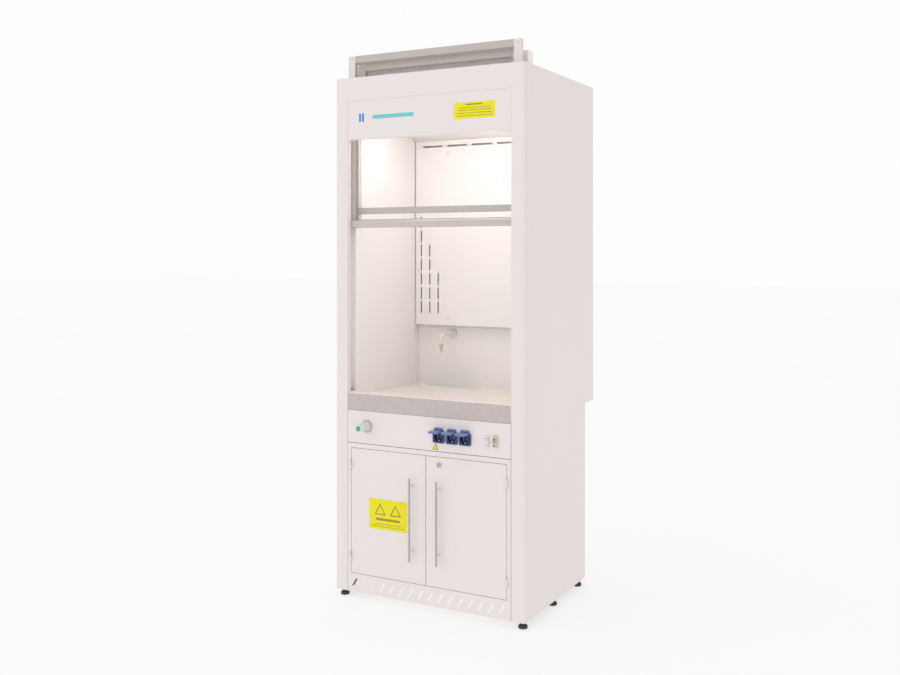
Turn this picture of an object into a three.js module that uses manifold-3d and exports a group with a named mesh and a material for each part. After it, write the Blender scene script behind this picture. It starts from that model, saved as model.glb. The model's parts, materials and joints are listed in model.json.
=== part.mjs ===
// Ducted fume hood with a base cupboard: a 900 mm wide bench cabinet whose glazed
// sash slides up through the roof in two telescoping leaves.
//
// Working axes: x to the right, y from the front face towards the back, z up from the
// bottom edge of the steel body. The last lines move the whole cabinet so that the
// origin is on the floor, under the middle of its bounding box. Millimetres throughout.
import * as THREE from 'three';
import { mergeVertices } from 'three/addons/utils/BufferGeometryUtils.js';
import Module from 'manifold-3d';

const wasm = await Module();
wasm.setup();

// ---- driving dimensions ----------------------------------------------------------
const WIDTH = 900;
const DEPTH = 750;
const HEIGHT = 2210;
const BASE_DEPTH = 648;        // the cupboard is shallower than the chamber above it
const STEP_Z = 784;            // height at which the body steps back
const FOOT_HEIGHT = 30;
const SHEET = 1.5;             // steel sheet
const GAP = 0.3;               // clearance between touching pieces
const GROOVE = 1.2;            // visible joint between front panels
const COLUMN = 60;             // width of a front column

const HALF = WIDTH / 2;
const OPENING = HALF - COLUMN; // half width between the columns
const PANEL = OPENING - 1.5 * GROOVE;
const FASCIA_Z = 2111;         // under edge of the top fascia
const HEADER_Z = 1942.5;       // under edge of the header panel
const RETURN_Y = 27;           // depth of the folded lips beside the opening

const WORKTOP_TOP = 855;       // crest of the raised front rim
const WORKTOP_UNDER = 781;
const WORKTOP_FLOOR = 830;     // working surface, dished behind the rim
const BACK_Y = 604;            // face of the rear lining
const BAFFLE_Y = 571;          // face of the exhaust baffle
const BAFFLE_THICK = 6;
const BAFFLE_BOTTOM = 1113;
const BAFFLE_HALF = 385;       // an air gap stays open along both side walls
const CEILING_REAR_Z = 1989;
const CEILING_FRONT_Z = 2101;
const WALL_THICK = 8;

const SASH_HALF = 415;         // half width of the front leaf; the rear one is narrower
const LEAF = { half: SASH_HALF, y0: 45, y1: 61, z0: 1565, z1: 2312, rail: 31, stile: 34 };
const UPPER = { half: 391, y0: 85, y1: 97, z0: 1955, z1: 2312, rail: 59.5, stile: 35 };
const TRACK_SPLIT_Z = 1590;    // the upper leaf never comes below this height

const DOOR = { z0: 81.5, z1: 617.5, thick: 18, edge: 369, meeting: 1.5 };
const SURROUND_Z = 639;
const HINGE_X = 371.5;
const HINGE_Y = -5;

// ---- small geometry helpers ---------------------------------------------------------
function solid(geometry) {
  const plain = geometry.index ? geometry.toNonIndexed() : geometry.clone();
  plain.deleteAttribute('normal');
  plain.deleteAttribute('uv');
  const merged = mergeVertices(plain, 1e-4);
  const position = merged.attributes.position;
  const index = merged.index.array;
  const corner = (i) => new THREE.Vector3().fromBufferAttribute(position, i);
  const kept = [];
  let volume = 0;
  for (let i = 0; i < index.length; i += 3) {
    const [a, b, c] = [index[i], index[i + 1], index[i + 2]];
    if (a === b || b === c || c === a) continue;
    kept.push([a, b, c]);
    volume += corner(a).dot(corner(b).cross(corner(c)));
  }
  const wound = volume > 0 ? kept : kept.map(([a, b, c]) => [a, c, b]);
  return new wasm.Manifold(new wasm.Mesh({
    numProp: 3,
    vertProperties: new Float32Array(position.array),
    triVerts: new Uint32Array(wound.flat()),
  }));
}

function block([x0, x1], [y0, y1], [z0, z1]) {
  const geometry = new THREE.BoxGeometry(x1 - x0, y1 - y0, z1 - z0);
  geometry.translate((x0 + x1) / 2, (y0 + y1) / 2, (z0 + z1) / 2);
  return solid(geometry);
}

// Extrudes a flat shape: 'xy' along z, 'xz' along y and 'yz' along x.
function prism(shape, plane, [from, to]) {
  const geometry = new THREE.ExtrudeGeometry(shape, {
    depth: to - from,
    bevelEnabled: false,
    curveSegments: 6,
  });
  const [X, Y, Z] = [[1, 0, 0], [0, 1, 0], [0, 0, 1]].map((v) => new THREE.Vector3(...v));
  const place = new THREE.Matrix4();
  if (plane === 'xy') place.makeBasis(X, Y, Z).setPosition(0, 0, from);
  if (plane === 'xz') place.makeBasis(X, Z, Y.clone().negate()).setPosition(0, to, 0);
  if (plane === 'yz') place.makeBasis(Y, Z, X).setPosition(from, 0, 0);
  geometry.applyMatrix4(place);
  return solid(geometry);
}

function outline(points) {
  return new THREE.Shape(points.map(([a, b]) => new THREE.Vector2(a, b)));
}

function roundedRect([a0, a1], [b0, b1], radius) {
  const shape = new THREE.Shape();
  const quarter = Math.PI / 2;
  shape.absarc(a1 - radius, b0 + radius, radius, -quarter, 0, false);
  shape.absarc(a1 - radius, b1 - radius, radius, 0, quarter, false);
  shape.absarc(a0 + radius, b1 - radius, radius, quarter, 2 * quarter, false);
  shape.absarc(a0 + radius, b0 + radius, radius, 2 * quarter, 3 * quarter, false);
  return shape;
}

function aim(geometry, axis) {
  if (axis === 'z') geometry.rotateX(Math.PI / 2);
  if (axis === 'x') geometry.rotateZ(-Math.PI / 2);
  return geometry;
}

// A round bar along an axis; centre holds the other two coordinates in x, y, z order.
function rod(axis, radius, centre, [from, to], sides = 24) {
  return turned(axis, [[0, from], [radius, from], [radius, to], [0, to]], centre, sides);
}

// A turned part: profile is a list of [radius, position along the axis].
function turned(axis, profile, centre, sides = 24) {
  const points = profile.map(([radius, along]) => new THREE.Vector2(radius, along));
  const geometry = aim(new THREE.LatheGeometry(points, sides), axis);
  const [a, b] = centre;
  if (axis === 'x') geometry.translate(0, a, b);
  if (axis === 'y') geometry.translate(a, 0, b);
  if (axis === 'z') geometry.translate(a, b, 0);
  return solid(geometry);
}

function tube(points, radius, sides = 8, bend = 25) {
  const path = new THREE.CurvePath();
  let start = points[0];
  for (let i = 1; i < points.length - 1; i += 1) {
    const into = points[i].clone().sub(points[i - 1]).setLength(bend);
    const out = points[i + 1].clone().sub(points[i]).setLength(bend);
    const enter = points[i].clone().sub(into);
    const leave = points[i].clone().add(out);
    path.add(new THREE.LineCurve3(start, enter));
    path.add(new THREE.QuadraticBezierCurve3(enter, points[i], leave));
    start = leave;
  }
  path.add(new THREE.LineCurve3(start, points[points.length - 1]));
  const ring = new THREE.Shape();
  ring.absarc(0, 0, radius, 0, 2 * Math.PI, false);
  const length = path.getLength();
  return solid(new THREE.ExtrudeGeometry(ring, {
    steps: Math.min(44, Math.round(length / (radius * 1.5))),
    curveSegments: sides,
    extrudePath: path,
  }));
}

const join = (...solids) => solids.reduce((whole, piece) => whole.add(piece));
const cut = (body, ...tools) => tools.reduce((rest, tool) => rest.subtract(tool), body);
const span = (side, near, far) => (side > 0 ? [near, far] : [-far, -near]);
const both = (half) => [-half, half];
const SIDES = [['left', -1], ['right', 1]];

// ---- materials --------------------------------------------------------------------------
function material(color, roughness, metalness = 0, extra = {}) {
  return new THREE.MeshStandardMaterial({ color, roughness, metalness, ...extra });
}
const paint = material(0xece6e4, 0.45);
const lining = material(0xf4efe9, 0.4);
const aluminium = material(0xcdc4be, 0.35, 0.8);
const ceramic = material(0xcfc6bd, 0.4);
const whitePlastic = material(0xf2f1ee, 0.35);
const bluePlastic = material(0x39478a, 0.4);
const paleBlue = material(0x8a96c4, 0.4);
const greyPlastic = material(0xb9b3b0, 0.45);
const steel = material(0xb4b2b0, 0.3, 0.9);
const blackRubber = material(0x2c2c2e, 0.8);
const glazing = material(0xe8efee, 0.05, 0, { transparent: true, opacity: 0.25 });
const lampLight = material(0xfffaf0, 0.5);
const castIron = material(0x4a4a4c, 0.7, 0.5);

const cabinet = new THREE.Group();

function add(name, body, surface) {
  const { vertProperties, triVerts } = body.getMesh();
  const geometry = new THREE.BufferGeometry();
  geometry.setAttribute('position', new THREE.BufferAttribute(vertProperties, 3));
  geometry.setIndex(new THREE.BufferAttribute(triVerts, 1));
  const mesh = new THREE.Mesh(geometry, surface);
  mesh.name = name;
  cabinet.add(mesh);
}

// ---- steel casing ------------------------------------------------------------------------
// The front frame is one folded sheet: two columns and the top fascia, with rounded outer
// bends, lips folded back beside the opening and flanges that the side panels meet.
function frontFrame() {
  const flange = 14;
  const bend = 8;
  const hull = (inset, depth) => {
    const [x, y, r] = [HALF - inset, inset, bend - inset];
    const shape = new THREE.Shape();
    shape.moveTo(x, depth);
    shape.lineTo(-x, depth);
    shape.absarc(-x + r, y + r, r, Math.PI, 1.5 * Math.PI, false);
    shape.absarc(x - r, y + r, r, 1.5 * Math.PI, 2 * Math.PI, false);
    return shape;
  };
  const skin = cut(
    prism(hull(0, flange), 'xy', [0, HEIGHT]),
    prism(hull(SHEET, flange + 1), 'xy', [SHEET, HEIGHT - SHEET]),
    block(both(OPENING), [-1, flange + 2], [-1, FASCIA_Z]),
  );
  const lips = SIDES.map(([, side]) => block(
    span(side, OPENING, OPENING + SHEET), [0, RETURN_Y], [0, FASCIA_Z],
  ));
  const soffit = block(both(OPENING + SHEET), [0, flange], [FASCIA_Z, FASCIA_Z + SHEET]);
  return join(skin, ...lips, soffit);
}
add('front_frame', frontFrame(), paint);

const SIDE_FRONT = 14 + GAP;
for (const [label, side] of SIDES) {
  const profile = outline([
    [SIDE_FRONT, 0], [BASE_DEPTH, 0], [BASE_DEPTH, STEP_Z],
    [DEPTH, STEP_Z], [DEPTH, HEIGHT], [SIDE_FRONT, HEIGHT],
  ]);
  add(`side_panel_${label}`, prism(profile, 'yz', span(side, HALF - SHEET, HALF)), paint);
}

const INSIDE = HALF - SHEET - GAP;
// Folded back: full-depth upper back, the step under it and the cupboard's back.
const backProfile = outline([
  [BASE_DEPTH - SHEET, 0], [BASE_DEPTH, 0], [BASE_DEPTH, STEP_Z], [DEPTH, STEP_Z],
  [DEPTH, HEIGHT], [DEPTH - SHEET, HEIGHT], [DEPTH - SHEET, STEP_Z + SHEET],
  [BASE_DEPTH - SHEET, STEP_Z + SHEET],
]);
add('rear_panel', prism(backProfile, 'yz', both(INSIDE)), paint);

const DUCT = { x: 0, y: 450, radius: 125 };
const SASH_SLOT = [38, 107.5];
const LAMP = { half: 415, y0: 108.3, y1: 156, top: 2276 };
add('roof_panel', cut(
  block(both(INSIDE), [SIDE_FRONT, DEPTH - SHEET - GAP], [HEIGHT - SHEET, HEIGHT]),
  block(both(SASH_HALF + 3), SASH_SLOT, [HEIGHT - 5, HEIGHT + 5]),
  block(both(LAMP.half - 10), [LAMP.y0 + 5, LAMP.y1 - 5], [HEIGHT - 5, HEIGHT + 5]),
  rod('z', DUCT.radius - 4, [DUCT.x, DUCT.y], [HEIGHT - 5, HEIGHT + 5], 40),
), paint);

const COLLAR_BASE = HEIGHT + GAP;
const COLLAR_TOP = HEIGHT + 101;
add('exhaust_collar', turned('z', [
  [DUCT.radius - SHEET, COLLAR_BASE], [DUCT.radius + 25, COLLAR_BASE],
  [DUCT.radius + 25, COLLAR_BASE + 2], [DUCT.radius, COLLAR_BASE + 2],
  [DUCT.radius, COLLAR_TOP], [DUCT.radius - SHEET, COLLAR_TOP],
  [DUCT.radius - SHEET, COLLAR_BASE],
], [DUCT.x, DUCT.y], 40), paint);

// Header: a folded cassette that closes the front above the sash opening.
const HEADER_FACE = 1.5;
add('header_panel', cut(
  block(both(PANEL), [HEADER_FACE, RETURN_Y], [HEADER_Z, FASCIA_Z - SHEET]),
  block(both(PANEL - SHEET), [HEADER_FACE + SHEET, RETURN_Y + 1],
    [HEADER_Z + SHEET, FASCIA_Z - 2 * SHEET]),
), paint);

// ---- working chamber ------------------------------------------------------------------------
const WALL_TOP = 2180;
for (const [label, side] of SIDES) {
  const front = RETURN_Y + 1;
  const leafSlot = 66.8;
  const upperSlot = 102.5;
  const profile = outline([
    [front, 42], [640, 42], [640, 700], [BACK_Y + WALL_THICK + 0.5, 700],
    [BACK_Y + WALL_THICK + 0.5, WALL_TOP], [upperSlot, WALL_TOP],
    [upperSlot, TRACK_SPLIT_Z], [leafSlot, TRACK_SPLIT_Z],
    [leafSlot, WORKTOP_TOP + 2], [front, WORKTOP_TOP + 2],
  ]);
  const wall = prism(profile, 'yz', span(side, OPENING, OPENING + WALL_THICK));
  add(`inner_wall_${label}`, wall, lining);
}

const LINED = OPENING - GAP;
const TAP = { x: -200, z: 1073 };
add('back_wall', cut(
  block(both(LINED), [BACK_Y, BACK_Y + WALL_THICK], [WORKTOP_UNDER, WALL_TOP]),
  rod('y', 11.5, [TAP.x, TAP.z], [BACK_Y - 5, BACK_Y + WALL_THICK + 5]),
), lining);

const WINDOW = { half: 372, y0: 120, y1: 156 };
const FLAT_CEILING_Y = 165;
const ceilingProfile = outline([
  [BAFFLE_Y + 0.5, CEILING_REAR_Z + GAP], [BAFFLE_Y + 0.5, CEILING_REAR_Z + 6.5],
  [FLAT_CEILING_Y + 1, CEILING_FRONT_Z + 6], [112, CEILING_FRONT_Z + 6],
  [112, CEILING_FRONT_Z], [FLAT_CEILING_Y, CEILING_FRONT_Z],
]);
add('chamber_ceiling', cut(
  prism(ceilingProfile, 'yz', both(LINED)),
  block(both(WINDOW.half), [WINDOW.y0, WINDOW.y1], [CEILING_FRONT_Z - 5, CEILING_FRONT_Z + 9]),
), lining);
add('lamp_window', block(
  both(WINDOW.half - GAP), [WINDOW.y0 + GAP, WINDOW.y1 - GAP],
  [CEILING_FRONT_Z + 0.5, CEILING_FRONT_Z + 4.5],
), glazing);

// Exhaust baffle: a slotted board held off the rear lining on four studs.
function baffle() {
  const through = [BAFFLE_Y - 5, BAFFLE_Y + BAFFLE_THICK + 5];
  const board = block(
    both(BAFFLE_HALF), [BAFFLE_Y, BAFFLE_Y + BAFFLE_THICK],
    [BAFFLE_BOTTOM, CEILING_REAR_Z - GAP],
  );
  const slots = [];
  const topPitch = 131.4;
  for (let i = 0; i < 5; i += 1) {
    const x = -345.5 + i * topPitch;
    slots.push(block([x, x + 106], through, [1957, 1966]));
  }
  const slotPitch = 67.8;
  const slotLength = 55;
  const columns = [[263, 3], [308.5, 5], [355, 7]];
  for (const [x, count] of columns) {
    for (const [, side] of SIDES) {
      for (let i = 0; i < count; i += 1) {
        const z = 1168 + i * slotPitch;
        slots.push(block(span(side, x - 4, x + 4), through, [z, z + slotLength]));
      }
    }
  }
  const studs = [];
  for (const [, side] of SIDES) {
    for (const z of [1150, 1930]) {
      studs.push(rod('y', 6, [side * 210, z], [BAFFLE_Y + 3, BACK_Y - GAP], 12));
    }
  }
  return join(cut(board, ...slots), ...studs);
}
add('baffle', baffle(), lining);

// Lamp: a steel trough on the roof just behind the sash, with a batten inside it.
add('lamp_housing', cut(
  block(both(LAMP.half), [LAMP.y0, LAMP.y1], [HEIGHT + GAP, LAMP.top]),
  block(both(LAMP.half - SHEET), [LAMP.y0 + SHEET, LAMP.y1 - SHEET],
    [HEIGHT - 1, LAMP.top - SHEET]),
), paint);
const lampY = (LAMP.y0 + LAMP.y1) / 2;
add('lamp_batten', join(
  block(both(370), [lampY - 11, lampY + 11], [LAMP.top - 28, LAMP.top - SHEET - GAP]),
  rod('x', 8, [lampY, LAMP.top - 38], both(300), 16),
  ...[-290, 290].map((x) => block(
    [x - 7, x + 7], [lampY - 9, lampY + 9], [LAMP.top - 47, LAMP.top - 27],
  )),
), lampLight);

// ---- sash, tracks, counterweights ------------------------------------------------------------
const PULLEY = { x: 430, y: 99, z: 2150, radius: 45, cable: 42, width: 12 };
const WEIGHT = { z0: 862, z1: 1306.6 };   // the pair balances the two leaves
for (const [label, side] of SIDES) {
  const wide = span(side, OPENING + GAP, SASH_HALF + 3.5);
  const narrow = span(side, UPPER.half - 7, UPPER.half + 4.5);
  const lower = [WORKTOP_TOP + 2.5, 2205];
  const upper = [TRACK_SPLIT_Z + 0.5, 2205];
  const web = block(span(side, SASH_HALF + 3, SASH_HALF + 5.5), [27.5, 110.1], lower);
  const front = block(span(side, OPENING + 1.8, SASH_HALF + 3.5), [27.5, 30], lower);
  const middle = block(wide, [64, 66.4], lower);
  const rearFront = block(narrow, [80, 82.4], upper);
  const rearBack = block(narrow, [99.6, 102], upper);
  const rearWeb = block(span(side, UPPER.half + 2, UPPER.half + 4.5), [80, 102], upper);
  const bridge = block(span(side, UPPER.half + 4, SASH_HALF + 3.5), [89, 93], upper);
  const axle = rod('x', 6, [PULLEY.y, PULLEY.z], span(side, SASH_HALF + 4, 446), 16);
  const guide = join(web, front, middle, rearFront, rearBack, rearWeb, bridge, axle);
  add(`sash_guide_${label}`, guide, paint);

  const rim = PULLEY.radius;
  const half = PULLEY.width / 2;
  const pulley = turned('x', [
    [6.4, PULLEY.x - half], [14, PULLEY.x - half], [rim, PULLEY.x - half + 2],
    [rim, PULLEY.x - 3], [rim - 5, PULLEY.x], [rim, PULLEY.x + 3],
    [rim, PULLEY.x + half - 2], [14, PULLEY.x + half], [6.4, PULLEY.x + half],
    [6.4, PULLEY.x - half],
  ], [PULLEY.y, PULLEY.z], 28);
  const spokes = [0, 1, 2, 3].map((i) => {
    const angle = (i * Math.PI) / 2;
    const at = [PULLEY.y + 26 * Math.cos(angle), PULLEY.z + 26 * Math.sin(angle)];
    return rod('x', 8, at, [PULLEY.x - 10, PULLEY.x + 10], 8);
  });
  const wheel = cut(pulley, ...spokes);
  add(`pulley_${label}`, side > 0 ? wheel : wheel.mirror([1, 0, 0]), whitePlastic);

  const cableY = PULLEY.y + PULLEY.cable;
  const weight = prism(
    roundedRect(span(side, 401, 445), [cableY - 30, cableY + 30], 4), 'xy',
    [WEIGHT.z0, WEIGHT.z1],
  );
  const lug = rod('z', 7, [side * PULLEY.x, cableY], [WEIGHT.z1 - 1, WEIGHT.z1 + 22], 12);
  add(`counterweight_${label}`, join(weight, lug), castIron);
}

function leafFrame({ half, y0, y1, z0, z1, rail, stile }, innerRadius) {
  const outer = roundedRect(both(half), [z0, z1], 3);
  const inner = roundedRect(both(half - stile), [z0 + rail, z1 - rail], innerRadius);
  return cut(prism(outer, 'xz', [y0, y1]), prism(inner, 'xz', [y0 - 1, y1 + 1]));
}
const CROSS_RAIL = [1624, 1652];
const crossRail = block(both(388), [LEAF.y1 - 0.5, LEAF.y1 + 11], CROSS_RAIL);
add('sash_frame', join(leafFrame(LEAF, 1), crossRail), aluminium);
const leafGlass = SASH_HALF - LEAF.stile - GAP;
add('sash_glass', block(both(leafGlass), [51, 57],
  [LEAF.z0 + LEAF.rail + 0.5, LEAF.z1 - LEAF.rail - 0.5]), glazing);

// Full-width grip, a bull-nosed bar on the face of the bottom rail.
function gripProfile() {
  const [front, back, bottom, top, radius] = [24, LEAF.y0 - GAP, LEAF.z0, LEAF.z0 + 32, 9];
  const shape = new THREE.Shape();
  shape.moveTo(back, bottom);
  shape.lineTo(back, top);
  shape.absarc(front + radius, top - radius, radius, Math.PI / 2, Math.PI, false);
  shape.absarc(front + radius, bottom + radius, radius, Math.PI, 1.5 * Math.PI, false);
  return shape;
}
add('sash_handle', prism(gripProfile(), 'yz', both(388)), aluminium);

add('upper_sash_frame', leafFrame(UPPER, 4), aluminium);
const upperGlass = UPPER.half - UPPER.stile - GAP;
add('upper_sash_glass', prism(
  roundedRect(both(upperGlass), [UPPER.z0 + UPPER.rail + GAP, UPPER.z1 - UPPER.rail - GAP], 5),
  'xz', [88.5, 93.5],
), glazing);

// ---- worktop, sink and water ---------------------------------------------------------------------
const SINK = { x0: -318, x1: -48, y0: 488, y1: 590, flange: 7, wall: 3, depth: 128 };
function worktop() {
  const edge = 3;
  const profile = new THREE.Shape();
  profile.moveTo(22, WORKTOP_UNDER);
  profile.lineTo(22, WORKTOP_FLOOR - 25);
  profile.lineTo(BACK_Y - GAP, WORKTOP_FLOOR - 25);
  profile.lineTo(BACK_Y - GAP, WORKTOP_FLOOR);
  profile.lineTo(66, WORKTOP_FLOOR);
  profile.lineTo(44, WORKTOP_TOP);
  profile.absarc(edge, WORKTOP_TOP - edge, edge, Math.PI / 2, Math.PI, false);
  profile.lineTo(0, WORKTOP_UNDER);
  const hole = roundedRect([SINK.x0 + 4, SINK.x1 - 4], [SINK.y0 + 4, SINK.y1 - 4], 14);
  return cut(
    prism(profile, 'yz', both(LINED)),
    prism(hole, 'xy', [WORKTOP_FLOOR - 50, WORKTOP_FLOOR + 20]),
  );
}
add('worktop', worktop(), ceramic);

const drain = [(SINK.x0 + SINK.x1) / 2, (SINK.y0 + SINK.y1) / 2];
const BOWL_UNDER = WORKTOP_FLOOR - SINK.depth;
function cupSink() {
  const inset = (amount, radius) => roundedRect(
    [SINK.x0 + amount, SINK.x1 - amount], [SINK.y0 + amount, SINK.y1 - amount], radius,
  );
  const rim = prism(inset(0, 12), 'xy', [WORKTOP_FLOOR + GAP, WORKTOP_FLOOR + 4]);
  const shell = prism(inset(SINK.flange, 12), 'xy', [BOWL_UNDER, WORKTOP_FLOOR + 1]);
  const bowl = prism(
    inset(SINK.flange + SINK.wall, 10), 'xy', [BOWL_UNDER + SINK.wall, WORKTOP_FLOOR + 9],
  );
  const outlet = rod('z', 18, drain, [BOWL_UNDER - 22, BOWL_UNDER + 1], 20);
  return cut(join(rim, shell, outlet), bowl,
    rod('z', 14, drain, [BOWL_UNDER - 30, BOWL_UNDER + 9], 20));
}
add('cup_sink', cupSink(), whitePlastic);

// Bottle trap under the sink, open at its inlet and at the outlet in the back.
function sinkTrap() {
  const top = BOWL_UNDER - 22 - GAP;
  const outletZ = 610;
  const body = join(
    rod('z', 18, drain, [outletZ, top], 20),
    turned('z', [[0, 530], [26, 530], [32, 538], [32, 630], [20, 644], [0, 644]], drain, 24),
    rod('y', 16, [drain[0], outletZ], [drain[1], 640], 20),
  );
  return cut(body,
    rod('z', 14, drain, [545, top + 5], 20),
    rod('y', 13, [drain[0], outletZ], [drain[1], 645], 20));
}
add('sink_trap', sinkTrap(), whitePlastic);

// Wall tap: flange, spout straight out of the lining, bend down and ribbed hose nozzle.
function tapBody() {
  const tip = new THREE.Vector3(TAP.x, BACK_Y - 115, TAP.z - 48);
  const spout = tube([
    new THREE.Vector3(TAP.x, BACK_Y - 10, TAP.z),
    new THREE.Vector3(TAP.x, BACK_Y - 115, TAP.z),
    tip,
  ], 9, 12, 22);
  const flange = turned('y', [
    [0, BACK_Y - 34], [12, BACK_Y - 34], [13, BACK_Y - 12], [21, BACK_Y - 9],
    [21, BACK_Y - GAP], [0, BACK_Y - GAP],
  ], [TAP.x, TAP.z]);
  const shank = rod('y', 10, [TAP.x, TAP.z], [BACK_Y - 5, BACK_Y + 34], 16);
  const nozzle = turned('z', [
    [0, tip.z - 32], [4, tip.z - 32], [6, tip.z - 24], [5, tip.z - 22], [7, tip.z - 14],
    [6, tip.z - 12], [8, tip.z - 4], [10, tip.z], [10, tip.z + 6], [0, tip.z + 6],
  ], [tip.x, tip.y], 16);
  return join(spout, flange, shank, nozzle);
}
add('tap_body', tapBody(), whitePlastic);

const VALVE = { x: -289, z: 716, face: -70 };
const pipeY = BACK_Y + 25;
add('water_pipe', tube([
  new THREE.Vector3(VALVE.x, 50.5, VALVE.z),
  new THREE.Vector3(VALVE.x, 95, VALVE.z),
  new THREE.Vector3(-350, 160, 690),
  new THREE.Vector3(-350, pipeY, 690),
  new THREE.Vector3(TAP.x, pipeY, 760),
  new THREE.Vector3(TAP.x, pipeY, TAP.z - 10.5),
], 6, 8, 20), steel);

// ---- control panel -------------------------------------------------------------------------------
const DEVICE_Z = 702;
const SOCKETS = { first: 63, pitch: 61, count: 3 };
const SWITCH_X = 283;
const BREAKER_X = 321;
const socketX = Array.from({ length: SOCKETS.count }, (_, i) => SOCKETS.first + i * SOCKETS.pitch);
function controlPanel() {
  const z = [SURROUND_Z + 2 * GROOVE, WORKTOP_UNDER - GROOVE];
  const tray = cut(
    block(both(PANEL), [0, 16], z),
    block(both(PANEL - SHEET), [SHEET, 17], [z[0] + SHEET, z[1] - SHEET]),
  );
  const through = [-5, 20];
  return cut(tray,
    rod('y', 14, [VALVE.x, VALVE.z], through),
    ...socketX.map((x) => rod('y', 23, [x, DEVICE_Z], through)),
    block([SWITCH_X - 8, SWITCH_X + 8], through, [DEVICE_Z - 20, DEVICE_Z + 20]),
    block([BREAKER_X - 8, BREAKER_X + 8], through, [DEVICE_Z - 18, DEVICE_Z + 22]));
}
add('control_panel', controlPanel(), paint);

add('valve_escutcheon', turned('y', [
  [0, 50], [12, 50], [12, -GAP], [26, -GAP], [27, -3], [24, -6], [0, -6],
], [VALVE.x, VALVE.z], 32), greyPlastic);
add('valve_knob', turned('y', [
  [0, -6.5], [15, -6.5], [15, -30], [17, -34], [18.5, -38], [18.5, VALVE.face + 5],
  [16, VALVE.face + 2], [14.5, VALVE.face + 2], [14, VALVE.face], [0, VALVE.face],
], [VALVE.x, VALVE.z], 32), whitePlastic);

const FLANGE = { half: 27, up: 24, down: 25, thick: 6 };
const LID_PIVOT = { y: -12, z: DEVICE_Z + FLANGE.up + 2 };
const LID = { half: 23, length: 44, above: 2.5, thick: 8 };
const HOOD = { half: 19, top: LID_PIVOT.z + 11 };   // block above the lid hinge
socketX.forEach((x, i) => {
  const face = roundedRect(
    [x - FLANGE.half, x + FLANGE.half], [DEVICE_Z - FLANGE.down, DEVICE_Z + FLANGE.up], 5,
  );
  const hood = roundedRect(
    [x - HOOD.half, x + HOOD.half], [DEVICE_Z + FLANGE.up - 8, HOOD.top], 6,
  );
  const brow = roundedRect([x - HOOD.half, x + HOOD.half], [LID_PIVOT.z + 3.5, HOOD.top], 3);
  const recess = rod('y', 19.5, [x, DEVICE_Z], [-FLANGE.thick - 1, 12], 28);
  const pins = [-9.5, 9.5].map((dx) => rod('y', 2.6, [x + dx, DEVICE_Z], [10, 32], 10));
  const barrel = rod('x', 2.5, [LID_PIVOT.y, LID_PIVOT.z], [x - 9, x + 9], 12);
  const ear = block([x - 9, x + 9], [LID_PIVOT.y - 1, -FLANGE.thick + 0.5],
    [LID_PIVOT.z - 4, LID_PIVOT.z]);
  add(`socket_${i + 1}`, cut(
    join(prism(face, 'xz', [-FLANGE.thick, -GAP]), rod('y', 22.4, [x, DEVICE_Z], [-1, 40], 28),
      prism(hood, 'xz', [-FLANGE.thick, -GAP]), prism(brow, 'xz', [-9, -GAP]), ear, barrel),
    recess, ...pins,
  ), bluePlastic);

  const lidFront = LID_PIVOT.y - LID.length;
  const lidTop = LID_PIVOT.z + LID.above;
  const lidUnder = lidTop - LID.thick;
  const plate = prism(
    roundedRect([x - LID.half, x + LID.half], [lidFront, LID_PIVOT.y + 1], 6), 'xy',
    [lidUnder, lidTop],
  );
  const hollow = prism(
    roundedRect([x - LID.half + 2, x + LID.half - 2], [lidFront + 2, LID_PIVOT.y - 6], 4), 'xy',
    [lidUnder - 1, lidTop - 2.5],
  );
  const relief = block([x - 10, x + 10], [LID_PIVOT.y - 5, LID_PIVOT.y + 4],
    [lidUnder - 1, lidTop + 1]);
  add(`socket_lid_${i + 1}`, cut(plate, hollow, relief), paleBlue);
});

const MODULE = { half: 9, z0: DEVICE_Z - 24.5, z1: DEVICE_Z + 24.5, face: -7 };
const ROCKER = { half: 6.4, z0: DEVICE_Z - 15, z1: DEVICE_Z + 15, pivotY: -4 };
add('switch_plate', cut(
  join(
    block([SWITCH_X - MODULE.half, SWITCH_X + MODULE.half], [MODULE.face, -GAP],
      [MODULE.z0, MODULE.z1]),
    block([SWITCH_X - 7.7, SWITCH_X + 7.7], [-1, 30], [DEVICE_Z - 19.5, DEVICE_Z + 19.5]),
  ),
  block([SWITCH_X - 6.8, SWITCH_X + 6.8], [MODULE.face - 1, 10],
    [DEVICE_Z - 15.6, DEVICE_Z + 15.6]),
), whitePlastic);
// The rocker is drawn in its off position, tipped out at the top.
const rocker = prism(outline([
  [-4.6, -14.5], [4, -13], [4, 13], [-4.6, 14.5], [-3.2, 0],
]), 'yz', [-ROCKER.half, ROCKER.half]);
add('switch_rocker', rocker.rotate([4, 0, 0]).translate([SWITCH_X, ROCKER.pivotY, DEVICE_Z]),
  whitePlastic);

const LEVER = { pivotY: -3, z: DEVICE_Z + 8 };
const BUTTON_Z = DEVICE_Z - 13;
add('breaker_body', cut(
  join(
    block([BREAKER_X - MODULE.half, BREAKER_X + MODULE.half], [MODULE.face, -GAP],
      [MODULE.z0 + 2, MODULE.z1 + 2]),
    block([BREAKER_X - MODULE.half, BREAKER_X + MODULE.half], [MODULE.face - 6, MODULE.face + 1],
      [DEVICE_Z - 19, DEVICE_Z + 21]),
    block([BREAKER_X - 7.7, BREAKER_X + 7.7], [-1, 40], [DEVICE_Z - 17.5, DEVICE_Z + 21.5]),
  ),
  block([BREAKER_X - 4.5, BREAKER_X + 4.5], [-20, 6], [LEVER.z - 9, LEVER.z + 9]),
  rod('y', 4.4, [BREAKER_X, BUTTON_Z], [-20, 2], 16),
), greyPlastic);
const leverShape = prism(outline([
  [-15, -3], [-1.5, -4], [3, -3], [3, 3], [-1.5, 4], [-15, 3],
]), 'yz', [-4, 4]);
add('breaker_lever', leverShape.rotate([20, 0, 0]).translate([BREAKER_X, LEVER.pivotY, LEVER.z]),
  castIron);
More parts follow.
